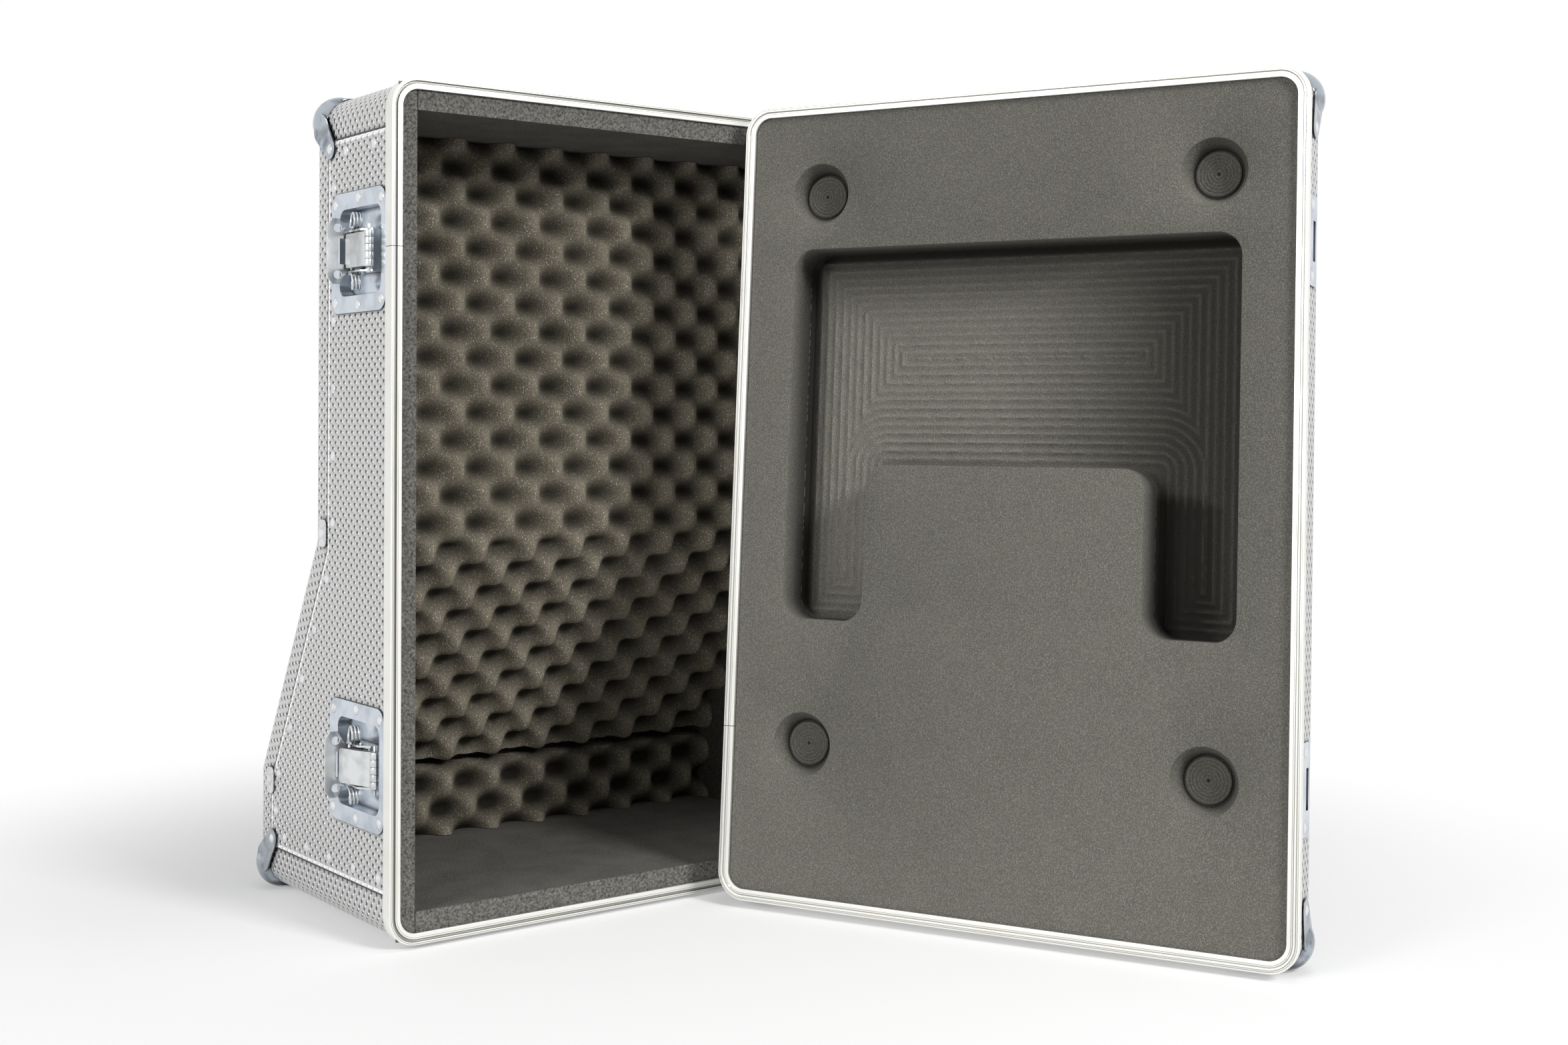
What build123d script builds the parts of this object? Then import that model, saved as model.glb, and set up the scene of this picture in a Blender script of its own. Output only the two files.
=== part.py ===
from build123d import *
import os
from math import atan2, cos, hypot, pi, sin, sqrt, tan

# A flight case for a mixing desk, open: a deep cover stands upright on its end, and the
# shallow tray that the desk lies in leans against the cover's rim.
# X runs across the cover, Y from the cover's rim to its back, Z up. All sizes are mm.
# Everything is drawn from the floor under the rim's front face, then moved so that the
# origin is the middle of the underside of the cover's rim.

os.makedirs("parts", exist_ok=True)

# The case as a whole, over its rims
case_width = 518.0
case_height = 720.0
depth_upper = 171.0
depth_lower = 292.0
bend_upper = 330.0
bend_lower = 112.0
tray_depth = 58.0

# Sheet aluminium: the side panels lie on flanges of the wrapped sheets
sheet = 1.5
skin_inset = 1.8
wrap_width = 41.0
wrap_lap = 24.0
panel_corner = 5.0

# Extruded rims: a front wall with a groove or a tongue, an outer band and an inner flange
rim_face = 10.0
rim_corner = 25.0
rim_wall = 3.2
cover_band = 12.8
tray_band = 7.0
flange_inset = 5.0
flange_wall = 1.5
groove_inset = 3.0
groove_width = 2.0
groove_depth = 2.0
tongue_play = 0.2
tongue_height = 1.5

# Foam
foam_gap = 0.3
lining_show = 15.0
lining_end_show = 17.0
egg_foam = 45.0
tray_foam_front = 3.5
tray_foam_layer = 36.0
pocket_depth = 48.0
pocket_corner = 20.0
pocket_half = 205.0
pocket_top = 586.0
pocket_leg_bottom = 252.5
tongue_half = 127.0
tongue_top = 391.5
foot_half = 181.0
foot_high = 636.5
foot_low = 142.0
foot_radius = 28.0
foot_floor_radius = 19.5
foot_depth = 16.0

# Ball corners
ball_radius = 24.0
ball_proud = 4.8
ball_wall = 1.5
ball_gap = 0.2
ear_root = 26.0
ear_root_radius = 13.0
ear_reach = 46.5
tray_ear_reach = 34.0
ear_tip_radius = 9.0

# Rivets
shank_radius = 2.4
head_radius = 4.5
head_height = 1.6
hole_play = 0.05
rivet_inset = 12.0
rivet_start = 83.5
rivet_stop = 14.5
end_rivet_pitch = 55.5
end_rivet_start = 38.4
bottom_rivet_start = 25.2
bottom_rivet_stop = 219.4
lower_back_rivet = 74.5
slope_rivet_first = 0.10
slope_rivet_last = 0.95
tab_length = 24.0
tab_width = 15.0
tab_rivet_up = 4.5

# Latch dishes
dish_length = 106.0
dish_height = 104.0
dish_corner = 13.0
dish_sheet = 1.2
dish_setback = 0.5
recess_length = 81.4
recess_height = 75.0
recess_corner = 10.0
recess_depth = 10.8
recess_shift = 4.0
window_play = 0.3
dish_rivet_u = 45.0
dish_rivet_v = 42.5
dish_rivet_mid = 46.0
latch_spacing = 436.0

# Latch works, in the dish's own frame: U to the rim, V along the case's height, W outward
pin_play = 0.05
pivot_u = 10.0
pivot_w = 1.0
pivot_radius = 2.0
barrel_u = 34.0
barrel_w = 7.0
knuckle_radius = 4.0
knuckle_length = 5.8
knuckle_gap = 0.35
barrel_pin_radius = 1.5
barrel_pin_length = 41.0
plate_width = 29.0
plate_thick = 2.2
plate_rear = -10.0
plate_corner = 3.0
link_half = 15.0
link_wall = 1.6
link_web_w = 3.6
link_rear = -3.0
link_cheek_front = 16.0
link_cheek_low = -1.5
bracket_wall = 1.6
bracket_inner = 16.6
bracket_rear = -15.0
bracket_front = 22.0
bracket_front_top = -2.3
bracket_shoulder = -2.0
bracket_boss = 4.5
wing_u = -12.0
wing_w = 1.0
wing_thick = 1.6
wing_bar_radius = 2.6
wing_bar_half = 16.2
wing_pin_radius = 1.2
wing_boss = 3.2
wing_half = 28.0
wing_waist = 4.6
wing_ear_start = 12.0
wing_ear_stop = 18.5
wing_tip_half = 21.5
wing_height = 23.0
wing_hole_radius = 3.65
wing_hole_v = 20.0
wing_hole_w = 13.5
wing_window_half = 11.0
wing_window_low = 3.6
wing_window_high = 13.0
lower_left_tilt = 16.0

# Latch springs
spring_radius = 6.5
spring_wire = 1.0
spring_pitch = 2.8
spring_turns = 3
spring_u = -1.0
spring_w = 2.4
spring_lean = 17.0
spring_leg = 8.0
spring_gap = 0.3

# Catches on the tray's long sides
catch_length = 74.0
catch_width = 24.0
catch_sheet = 1.2
catch_setback = 1.0
catch_slot_length = 33.0
catch_slot_width = 8.0
catch_slot_y = 23.0
catch_rivet_y = 14.6
catch_rivet_half = 29.25
catch_cup_depth = 9.0

# How the tray stands: its foot, its turn about Z, its lean back and its sideways lean
tray_x = 150.5
tray_turn = -65.604
tray_lean = -4.105
tray_roll = 0.2
tray_nestle = 2.37

half_width = case_width / 2
skin_x = half_width - skin_inset
edge_radius = rim_corner - skin_inset
wrap_x = skin_x - sheet
rim_low = ball_proud - skin_inset
rim_high = rim_low + case_height
middle_z = (rim_low + rim_high) / 2
bend_shift = tan(atan2(depth_lower - depth_upper, bend_upper - bend_lower) / 2)
far = 2 * case_height
to_origin = Location((0, -cover_band / 2, -rim_low))


def back_line(inset):
    """The back's two bends as (y, z), drawn inwards by inset at right angles to the sheet."""
    drop = inset * bend_shift
    upper = (depth_upper - inset, rim_low + bend_upper - drop)
    lower = (depth_lower - inset, rim_low + bend_lower - drop)
    return [upper, lower]


def side_outline(front, inset):
    """Corners of the cover's side view as (y, z), inset from its back, top and bottom."""
    low = rim_low + inset
    high = rim_high - inset
    upper, lower = back_line(inset)
    return [(front, low), (front, high), (upper[0], high), upper, lower, (lower[0], low)]


def spaced(start, end, count):
    """Points evenly spaced from start to end, both ends included."""
    steps = [k / (count - 1) for k in range(count)]
    return [tuple(s + (e - s) * t for s, e in zip(start, end)) for t in steps]


def finish(part, name):
    """Moves a finished piece to the origin, labels it and writes it under its name."""
    placed = part.moved(to_origin)
    placed.label = name
    export_step(placed, f"parts/{name}.step")


def block_between(low, high, mode=Mode.ADD):
    """A box given by its lowest and its highest corner."""
    middle = [(a + b) / 2 for a, b in zip(low, high)]
    size = [b - a for a, b in zip(low, high)]
    with Locations(tuple(middle)):
        Box(*size, mode=mode)


def cover_block(inset, front):
    """The solid inside the cover's wrapped sheets, inset from their outer faces."""
    low = rim_low + skin_inset + inset
    high = rim_high - skin_inset - inset
    upper, lower = back_line(inset)
    with BuildPart() as block:
        with BuildSketch(Plane.YZ):
            with BuildLine():
                Polyline((front, low), (front, high), (upper[0], high), upper, lower, (lower[0], low), close=True)
            make_face()
        extrude(amount=wrap_x - inset, both=True)
        behind = block.edges().filter_by(lambda edge: edge.bounding_box().max.Y > front + sheet)
        flanks = behind.filter_by(lambda edge: edge.bounding_box().size.X < sheet)
        ends = behind.filter_by(Axis.X).sort_by(Axis.Z)
        fillet(flanks + [ends[0], ends[-1]], edge_radius - inset)
    return block.part


def tray_block(inset, front):
    """The solid inside the tray's wrapped sheets, in the tray's own frame."""
    half = skin_x - inset
    low = skin_inset + inset
    high = case_height - skin_inset - inset
    with BuildPart() as block:
        block_between((-half, front, low), (half, tray_depth - inset, high))
        kept = block.faces().sort_by(Axis.Y)[0].edges()
        fillet([edge for edge in block.edges() if edge not in kept], edge_radius - inset)
    return block.part


def ring(front, back, outer_inset, width):
    """A rectangular ring in the rim's plane, in a frame whose Z starts at the rim's bottom."""
    plane = Plane(origin=(0, back, case_height / 2), x_dir=(1, 0, 0), z_dir=(0, -1, 0))
    with BuildPart() as band:
        with BuildSketch(plane):
            RectangleRounded(
                case_width - 2 * outer_inset, case_height - 2 * outer_inset, rim_corner - outer_inset
            )
            inner = outer_inset + width
            RectangleRounded(
                case_width - 2 * inner,
                case_height - 2 * inner,
                max(rim_corner - inner, rim_face),
                mode=Mode.SUBTRACT,
            )
        extrude(amount=back - front)
    return band.part


def rim_profile(band_depth):
    """The extruded rim with no groove: front wall, outer band and inner flange."""
    with BuildPart() as rim:
        add(ring(0, rim_wall, 0, rim_face))
        add(ring(0, band_depth, 0, skin_inset))
        add(ring(0, band_depth, flange_inset, flange_wall))
    return rim.part


def rivet_blank(grip):
    """A domed rivet whose head rests on the plane Z = 0 and whose shank fills the grip."""
    dome_radius = (head_radius**2 + head_height**2) / (2 * head_height)
    with BuildPart() as rivet:
        with Locations((0, 0, head_height - dome_radius)):
            Sphere(dome_radius)
        with Locations((0, 0, -dome_radius)):
            Box(4 * dome_radius, 4 * dome_radius, 2 * dome_radius, mode=Mode.SUBTRACT)
        with Locations((0, 0, -grip / 2)):
            Cylinder(shank_radius, grip)
    return rivet.part


def rivet_group(seats, grip):
    """One rivet at each seat."""
    blank = rivet_blank(grip)
    with BuildPart() as group:
        for seat in seats:
            with Locations(seat):
                add(blank)
    return group.part


def shank_holes(seats, grip):
    """Cylinders that clear the shanks of rivets at the seats."""
    with BuildPart() as holes:
        for seat in seats:
            with Locations(seat * Location((0, 0, -grip / 2))):
                Cylinder(shank_radius + hole_play, 2 * grip)
    return holes.part


def on_side(side, y, z, lift=0.0):
    """A seat on the cover's side panel: side is -1 on the left and 1 on the right."""
    return Plane(origin=(side * (skin_x + lift), y, z), x_dir=(0, -1, 0), z_dir=(side, 0, 0)).location


def ear_places(corner, out, lifts, reach):
    """The plane of each ear of a ball corner, one for each face, with its root and its tip."""
    flip = out[0] * out[1] * out[2]
    places = []
    for axis in range(3):
        following = (axis + 1) % 3
        normal = [0, 0, 0]
        normal[axis] = out[axis]
        inward = [0, 0, 0]
        inward[following] = -out[following]
        origin = list(corner)
        origin[axis] += out[axis] * lifts[axis]
        plane = Plane(origin=tuple(origin), x_dir=tuple(inward), z_dir=tuple(normal))
        tip = (reach[following], flip * reach[axis - 1])
        places.append((plane, (ear_root, flip * ear_root), tip))
    return places


def ear_seats(corner, out, lifts, reach):
    """Seats of the rivets through the ears, on the ears' outer faces."""
    places = ear_places(corner, out, lifts, reach)
    return [plane.location * Location((*tip, ball_wall)) for plane, root, tip in places]


def ball_corner(corner, out, lifts, reach, seat_block):
    """A pressed ball with three ears, cut to clear the sheets that it is riveted over."""
    centre = tuple(c - o * (ball_radius - ball_proud) for c, o in zip(corner, out))
    with BuildPart() as cap:
        with Locations(centre):
            Sphere(ball_radius)
        for plane, root, tip in ear_places(corner, out, lifts, reach):
            with BuildSketch(plane):
                with Locations(root):
                    Circle(ear_root_radius)
                with Locations(tip):
                    Circle(ear_tip_radius)
                make_hull()
            extrude(amount=ball_wall)
        with Locations(centre):
            Sphere(ball_radius - ball_wall, mode=Mode.SUBTRACT)
        add(seat_block, mode=Mode.SUBTRACT)
        add(shank_holes(ear_seats(corner, out, lifts, reach), 2 * ball_wall), mode=Mode.SUBTRACT)
    return cap.part


# Latches: each dish sits behind the rim's band, and its works are drawn once and placed four times
latch_y = cover_band + dish_setback + dish_length / 2
latch_seats = {}
for side_name, side in (("left", -1), ("right", 1)):
    for level_name, level in (("upper", 1), ("lower", -1)):
        seat = on_side(side, latch_y, middle_z + level * latch_spacing / 2)
        latch_seats[f"{side_name}_{level_name}"] = seat

dish_rivet_places = [(u, v) for u in (-dish_rivet_u, dish_rivet_u) for v in (-dish_rivet_v, dish_rivet_v)]
dish_rivet_places += [(0, -dish_rivet_mid), (0, dish_rivet_mid)]
dish_rivet_seats = [
    seat * Location((u, v, dish_sheet)) for seat in latch_seats.values() for u, v in dish_rivet_places
]

# Rivets of the cover: rows beside the seams, one under each tab and three in each ball corner
seam = wrap_width + rivet_inset
row_upper, row_lower = back_line(seam)
side_row = spaced((end_rivet_start, rim_high - seam), (end_rivet_start + end_rivet_pitch, rim_high - seam), 2)
upper_row = spaced(
    (row_upper[0], rim_high - rivet_start), (row_upper[0], back_line(0)[0][1] + rivet_stop), 6
)
dish_reach = dish_height / 2 + head_radius
side_row += [p for p in upper_row if abs(p[1] - middle_z - latch_spacing / 2) > dish_reach]
slope_ends = spaced(row_upper, row_lower, 101)
slope_first = slope_ends[round(100 * slope_rivet_first)]
slope_last = slope_ends[round(100 * slope_rivet_last)]
side_row += spaced(slope_first, slope_last, 5)
side_row.append((row_lower[0], rim_low + lower_back_rivet))
side_row += spaced((bottom_rivet_stop, rim_low + seam), (bottom_rivet_start, rim_low + seam), 5)
side_seats = [on_side(side, y, z) for side in (-1, 1) for y, z in side_row]

tab_upper, tab_lower = back_line(wrap_width)
tab_places = [(tab_upper[0] + tab_width / 2, back_line(0)[0][1] + tab_rivet_up), tab_lower]
tab_seats = [on_side(side, y, z, sheet) for side in (-1, 1) for y, z in tab_places]

cover_corners = []
for side in (-1, 1):
    top_corner = (side * wrap_x, depth_upper, rim_high - skin_inset)
    low_corner = (side * wrap_x, depth_lower, rim_low + skin_inset)
    cover_corners.append((top_corner, (side, 1, 1)))
    cover_corners.append((low_corner, (side, 1, -1)))
cover_lifts = (sheet, 0, 0)
cover_reach = (ear_reach, ear_reach, ear_reach)
cover_ear_seats = [ear_seats(corner, out, cover_lifts, cover_reach) for corner, out in cover_corners]
side_ear_seats = [seats[0] for seats in cover_ear_seats]
back_ear_seats = [seat for seats in cover_ear_seats for seat in seats[1:]]

grip_two = 2 * sheet
grip_three = 3 * sheet
with BuildPart() as cover_holes:
    add(shank_holes(side_seats + back_ear_seats + dish_rivet_seats, grip_two))
    add(shank_holes(side_ear_seats + tab_seats, grip_three))

with BuildPart() as cover_rivets:
    add(rivet_group(side_seats + back_ear_seats, grip_two))
    add(rivet_group(side_ear_seats + tab_seats, grip_three))
finish(cover_rivets.part, "cover_rivets")

# Wrapped sheets of the cover: one shell with its side windows cut out, parted at the seams
with BuildPart() as cover_shell:
    add(cover_block(0, rim_wall))
    add(cover_block(sheet, -far), mode=Mode.SUBTRACT)
    with BuildSketch(Plane.YZ):
        with BuildLine():
            Polyline(*side_outline(-1, wrap_width + wrap_lap), close=True)
        make_face()
    extrude(amount=far, both=True, mode=Mode.SUBTRACT)
    add(cover_holes.part, mode=Mode.SUBTRACT)

top_region = ((-far, -far, rim_high - wrap_width - wrap_lap), (far, depth_upper - wrap_width, far))
bottom_region = ((-far, -far, -far), (far, depth_lower - wrap_width, rim_low + wrap_width + wrap_lap))
upper_bend_z = back_line(0)[0][1]
lower_bend_z = back_line(0)[1][1]

with BuildPart() as cover_top_sheet:
    add(cover_shell.part)
    block_between(*top_region, mode=Mode.INTERSECT)
finish(cover_top_sheet.part, "cover_top_sheet")

with BuildPart() as cover_bottom_sheet:
    add(cover_shell.part)
    block_between(*bottom_region, mode=Mode.INTERSECT)
finish(cover_bottom_sheet.part, "cover_bottom_sheet")

with BuildPart() as cover_back_upper:
    add(cover_shell.part)
    block_between((-far, -far, upper_bend_z), (far, far, far), mode=Mode.INTERSECT)
    block_between(*top_region, mode=Mode.SUBTRACT)
finish(cover_back_upper.part, "cover_back_upper_sheet")

with BuildPart() as cover_back_slope:
    add(cover_shell.part)
    block_between((-far, -far, lower_bend_z), (far, far, upper_bend_z), mode=Mode.INTERSECT)
finish(cover_back_slope.part, "cover_back_slope_sheet")

with BuildPart() as cover_back_lower:
    add(cover_shell.part)
    block_between((-far, -far, -far), (far, far, lower_bend_z), mode=Mode.INTERSECT)
    block_between(*bottom_region, mode=Mode.SUBTRACT)
finish(cover_back_lower.part, "cover_back_lower_sheet")

# Side panels, with a window behind each latch dish
for side_name, side in (("left", -1), ("right", 1)):
    with BuildPart() as side_panel:
        with BuildSketch(Plane(origin=(side * wrap_x, 0, 0), x_dir=(0, 1, 0), z_dir=(1, 0, 0))) as outline:
            with BuildLine():
                Polyline(*side_outline(rim_wall, wrap_width), close=True)
            make_face()
            rear_corners = outline.vertices().filter_by(lambda vertex: vertex.Y > rim_wall + sheet)
            fillet(rear_corners, panel_corner)
        extrude(amount=side * sheet)
        for name, seat in latch_seats.items():
            if name.startswith(side_name):
                with Locations(seat * Location((recess_shift, 0, 0))):
                    opening_length = recess_length + 2 * (dish_sheet + window_play)
                    opening_height = recess_height + 2 * (dish_sheet + window_play)
                    Box(opening_length, opening_height, 4 * sheet, mode=Mode.SUBTRACT)
        add(cover_holes.part, mode=Mode.SUBTRACT)
    finish(side_panel.part, f"cover_side_panel_{side_name}")

# Tabs over the ends of the slope's seams
with BuildPart() as seam_tabs:
    for seat in tab_seats:
        with BuildSketch(Plane(seat).offset(-sheet)):
            RectangleRounded(tab_width, tab_length, tab_width / 3)
        extrude(amount=sheet)
    add(cover_holes.part, mode=Mode.SUBTRACT)
finish(seam_tabs.part, "cover_seam_tabs")

ball_seat_block = cover_block(-ball_gap, -far)
with BuildPart() as cover_ball_corners:
    for corner, out in cover_corners:
        add(ball_corner(corner, out, cover_lifts, cover_reach, ball_seat_block))
finish(cover_ball_corners.part, "cover_ball_corners")

# The cover's rim takes the tray's tongue in its groove
cover_place = Location((0, 0, rim_low))
with BuildPart() as cover_rim:
    with Locations(cover_place):
        add(rim_profile(cover_band))
        add(ring(-1, groove_depth, groove_inset, groove_width), mode=Mode.SUBTRACT)
finish(cover_rim.part, "cover_rim")

# Foam in the cover: plank linings round the mouth and three sheets of egg-crate foam at the back
foam_room = cover_block(sheet + foam_gap, rim_wall + foam_gap)
lining_x = half_width - rim_face - lining_show
lining_low = rim_low + rim_face + lining_end_show
lining_high = rim_high - rim_face - lining_end_show
with BuildPart() as flange_room:
    with Locations(cover_place):
        add(ring(0, cover_band + foam_gap, skin_inset, flange_inset + flange_wall + foam_gap - skin_inset))

for side_name, side in (("left", -1), ("right", 1)):
    inner, outer = side * lining_x, side * far
    with BuildPart() as side_lining:
        add(foam_room)
        block_between(
            (min(inner, outer), -far, -far), (max(inner, outer), far, far), mode=Mode.INTERSECT
        )
        add(flange_room.part, mode=Mode.SUBTRACT)
        for name, seat in latch_seats.items():
            if name.startswith(side_name):
                with Locations(seat * Location((recess_shift, 0, 0))):
                    room = 2 * (dish_sheet + window_play)
                    Box(
                        recess_length + room,
                        recess_height + room,
                        2 * recess_depth + room,
                        mode=Mode.SUBTRACT,
                    )
    finish(side_lining.part, f"lining_{side_name}")

for level_name, low, high in (("top", lining_high, far), ("bottom", -far, lining_low)):
    with BuildPart() as end_lining:
        add(foam_room)
        block_between((-lining_x, -far, low), (lining_x, far, high), mode=Mode.INTERSECT)
        add(flange_room.part, mode=Mode.SUBTRACT)
    finish(end_lining.part, f"lining_{level_name}")

wall_upper, wall_lower = back_line(sheet + foam_gap)
face_upper, face_lower = back_line(sheet + foam_gap + egg_foam)
egg_outlines = {
    "upper": [(wall_upper[0], lining_high), wall_upper, face_upper, (face_upper[0], lining_high)],
    "slope": [wall_upper, wall_lower, face_lower, face_upper],
    "lower": [wall_lower, (wall_lower[0], lining_low), (face_lower[0], lining_low), face_lower],
}
for name, outline in egg_outlines.items():
    with BuildPart() as egg_sheet:
        with BuildSketch(Plane.YZ):
            with BuildLine():
                Polyline(*outline, close=True)
            make_face()
        extrude(amount=lining_x, both=True)
    finish(egg_sheet.part, f"egg_foam_{name}")

# Latch dish: a flange riveted on the side panel round a flat-bottomed recess
with BuildPart() as dish:
    with BuildSketch(Plane.XY):
        RectangleRounded(dish_length, dish_height, dish_corner)
    extrude(amount=dish_sheet)
    with BuildSketch(Plane.XY.offset(dish_sheet)):
        with Locations((recess_shift, 0)):
            RectangleRounded(
                recess_length + 2 * dish_sheet, recess_height + 2 * dish_sheet, recess_corner + dish_sheet
            )
    extrude(amount=-(recess_depth + 2 * dish_sheet))
    with BuildSketch(Plane.XY.offset(dish_sheet)):
        with Locations((recess_shift, 0)):
            RectangleRounded(recess_length, recess_height, recess_corner)
    extrude(amount=-(recess_depth + dish_sheet), mode=Mode.SUBTRACT)
    with Locations(*[(u, v, 0) for u, v in dish_rivet_places]):
        Cylinder(shank_radius + hole_play, 4 * dish_sheet, mode=Mode.SUBTRACT)

# Bracket: a box on the recess floor with an ear each side, the lever's pivot pin across it,
# and holes near its rear for the wing's pin
floor_w = -recess_depth
bracket_base_top = floor_w + bracket_wall
with BuildPart() as bracket:
    block_between(
        (bracket_rear, -bracket_inner - bracket_wall, floor_w),
        (bracket_front, bracket_inner + bracket_wall, bracket_base_top),
    )
    block_between(
        (bracket_front - bracket_wall, -bracket_inner, floor_w),
        (bracket_front, bracket_inner, bracket_front_top),
    )
    for side in (-1, 1):
        ear_plane = Plane(origin=(0, side * bracket_inner, 0), x_dir=(1, 0, 0), z_dir=(0, side, 0))
        with BuildSketch(ear_plane):
            with Locations(((bracket_rear + bracket_front) / 2, -side * (floor_w + bracket_shoulder) / 2)):
                Rectangle(bracket_front - bracket_rear, bracket_shoulder - floor_w)
            with Locations((wing_u, -side * wing_w)):
                Circle(wing_boss)
            with Locations((pivot_u, -side * pivot_w)):
                Circle(bracket_boss)
            make_hull()
            with Locations((wing_u, -side * wing_w)):
                Circle(wing_pin_radius + pin_play, mode=Mode.SUBTRACT)
        extrude(amount=bracket_wall)
    with BuildSketch(Plane.XZ.offset(-bracket_inner - 2 * bracket_wall)):
        with Locations((pivot_u, pivot_w)):
            Circle(pivot_radius)
    extrude(amount=2 * bracket_inner + 4 * bracket_wall)

# Five knuckles in a row along V: the plate holds the first, third and fifth
knuckle_step = knuckle_length + knuckle_gap
knuckle_places = [(k - 2) * knuckle_step for k in range(5)]
plate_knuckles = knuckle_places[0::2]
link_knuckles = knuckle_places[1::2]
barrel_half = knuckle_places[-1] + knuckle_length / 2

# Link: a channel that rocks on the bracket's pivot pin and carries the barrel pin at its rim end
with BuildPart() as link:
    for side in (-1, 1):
        cheek_plane = Plane(origin=(0, side * link_half, 0), x_dir=(1, 0, 0), z_dir=(0, -side, 0))
        with BuildSketch(cheek_plane):
            with Locations(((link_rear + link_cheek_front) / 2, side * (link_cheek_low + link_web_w) / 2)):
                Rectangle(link_cheek_front - link_rear, link_web_w - link_cheek_low)
            with Locations((pivot_u, side * pivot_w)):
                Circle(pivot_radius + link_wall)
                Circle(pivot_radius + pin_play, mode=Mode.SUBTRACT)
        extrude(amount=link_wall)
    block_between(
        (link_rear, -link_half, link_web_w),
        (barrel_u - knuckle_radius - pivot_radius, link_half, link_web_w + link_wall),
    )
    for v in link_knuckles:
        block_between(
            (barrel_u - knuckle_radius - pivot_radius - link_wall, v - knuckle_length / 2, barrel_w - knuckle_radius),
            (barrel_u, v + knuckle_length / 2, link_web_w + link_wall),
        )
        with BuildSketch(Plane.XZ.offset(-v - knuckle_length / 2)):
            with Locations((barrel_u, barrel_w)):
                Circle(knuckle_radius)
        extrude(amount=knuckle_length)
    with BuildSketch(Plane.XZ.offset(-barrel_pin_length / 2)):
        with Locations((barrel_u, barrel_w)):
            Circle(barrel_pin_radius)
    extrude(amount=barrel_pin_length)

# Plate: lies folded back over the link and swings out over the rim on the barrel pin
with BuildPart() as plate:
    with BuildSketch(Plane.XY.offset(barrel_w - plate_thick / 2)) as leaf:
        leaf_front = barrel_u - knuckle_radius - knuckle_gap
        with Locations(((plate_rear + leaf_front) / 2, 0)):
            Rectangle(leaf_front - plate_rear, plate_width)
        fillet(leaf.vertices().group_by(Axis.X)[0], plate_corner)
        with Locations(*[((leaf_front + barrel_u) / 2, v) for v in plate_knuckles]):
            Rectangle(barrel_u - leaf_front, knuckle_length)
    extrude(amount=plate_thick)
    for v in plate_knuckles:
        with BuildSketch(Plane.XZ.offset(-v - knuckle_length / 2)):
            with Locations((barrel_u, barrel_w)):
                Circle(knuckle_radius)
        extrude(amount=knuckle_length)
    with BuildSketch(Plane.XZ.offset(-barrel_half)):
        with Locations((barrel_u, barrel_w)):
            Circle(barrel_pin_radius + pin_play)
    extrude(amount=2 * barrel_half, mode=Mode.SUBTRACT)

# Wing: a flat butterfly with two finger holes and a window, on a bar and pin at its foot
wing_outline = [
    (wing_bar_half, 0),
    (wing_bar_half, wing_waist),
    (wing_half, wing_ear_start),
    (wing_half, wing_ear_stop),
    (wing_tip_half, wing_height),
]
with BuildPart() as wing:
    with BuildSketch(Plane(origin=(wing_u - wing_thick / 2, 0, wing_w), x_dir=(0, 1, 0), z_dir=(1, 0, 0))):
        with BuildLine():
            Polyline(*wing_outline, *[(-v, w) for v, w in reversed(wing_outline)], close=True)
        make_face()
        with Locations((0, (wing_window_low + wing_window_high) / 2)):
            RectangleRounded(
                2 * wing_window_half, wing_window_high - wing_window_low, wing_thick, mode=Mode.SUBTRACT
            )
        with Locations((-wing_hole_v, wing_hole_w), (wing_hole_v, wing_hole_w)):
            Circle(wing_hole_radius, mode=Mode.SUBTRACT)
    extrude(amount=wing_thick)
    with BuildSketch(Plane.XZ.offset(-wing_bar_half)):
        with Locations((wing_u, wing_w)):
            Circle(wing_bar_radius)
    extrude(amount=2 * wing_bar_half)
    with BuildSketch(Plane.XZ.offset(-bracket_inner - 2 * bracket_wall)):
        with Locations((wing_u, wing_w)):
            Circle(wing_pin_radius)
    extrude(amount=2 * bracket_inner + 4 * bracket_wall)

# Springs: one coil beside each ear, wound from half-turn arcs, with a straight leg at each end
spring_v = bracket_inner + bracket_wall + spring_gap + spring_wire + spring_radius


def coil_point(half_turns, radius):
    """A point on the coil's helix: half a turn rises by half the pitch."""
    angle = -pi / 2 + pi * half_turns
    height = (half_turns - spring_turns) * spring_pitch / 2
    return (radius * cos(angle), radius * sin(angle), height)


crown_radius = sqrt(spring_radius**2 + (spring_pitch / 4) ** 2)
spring_points = []
with BuildPart() as springs:
    for side in (-1, 1):
        seat = Location((spring_u, side * spring_v, spring_w)) * Location((0, 0, 0), (0, -spring_lean, 0))
        hand = 0 if side > 0 else 180
        with BuildLine(Plane(seat * Location((0, 0, 0), (hand, 0, 0)))) as coil:
            arcs = []
            for k in range(2 * spring_turns):
                ends = coil_point(k, spring_radius), coil_point(k + 1, spring_radius)
                arcs.append(ThreePointArc(ends[0], coil_point(k + 0.5, crown_radius), ends[1]))
            Line(arcs[0] @ 0 - spring_leg * (arcs[0] % 0), arcs[0] @ 0)
            Line(arcs[-1] @ 1, arcs[-1] @ 1 + spring_leg * (arcs[-1] % 1))
        wire = coil.wires()[0]
        with BuildSketch(Plane(origin=wire @ 0, z_dir=wire % 0)):
            Circle(spring_wire)
        sweep(path=wire)
        if side > 0:
            spring_points = [(wire @ (k / 600), wire.length * k / 600) for k in range(601)]

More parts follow.
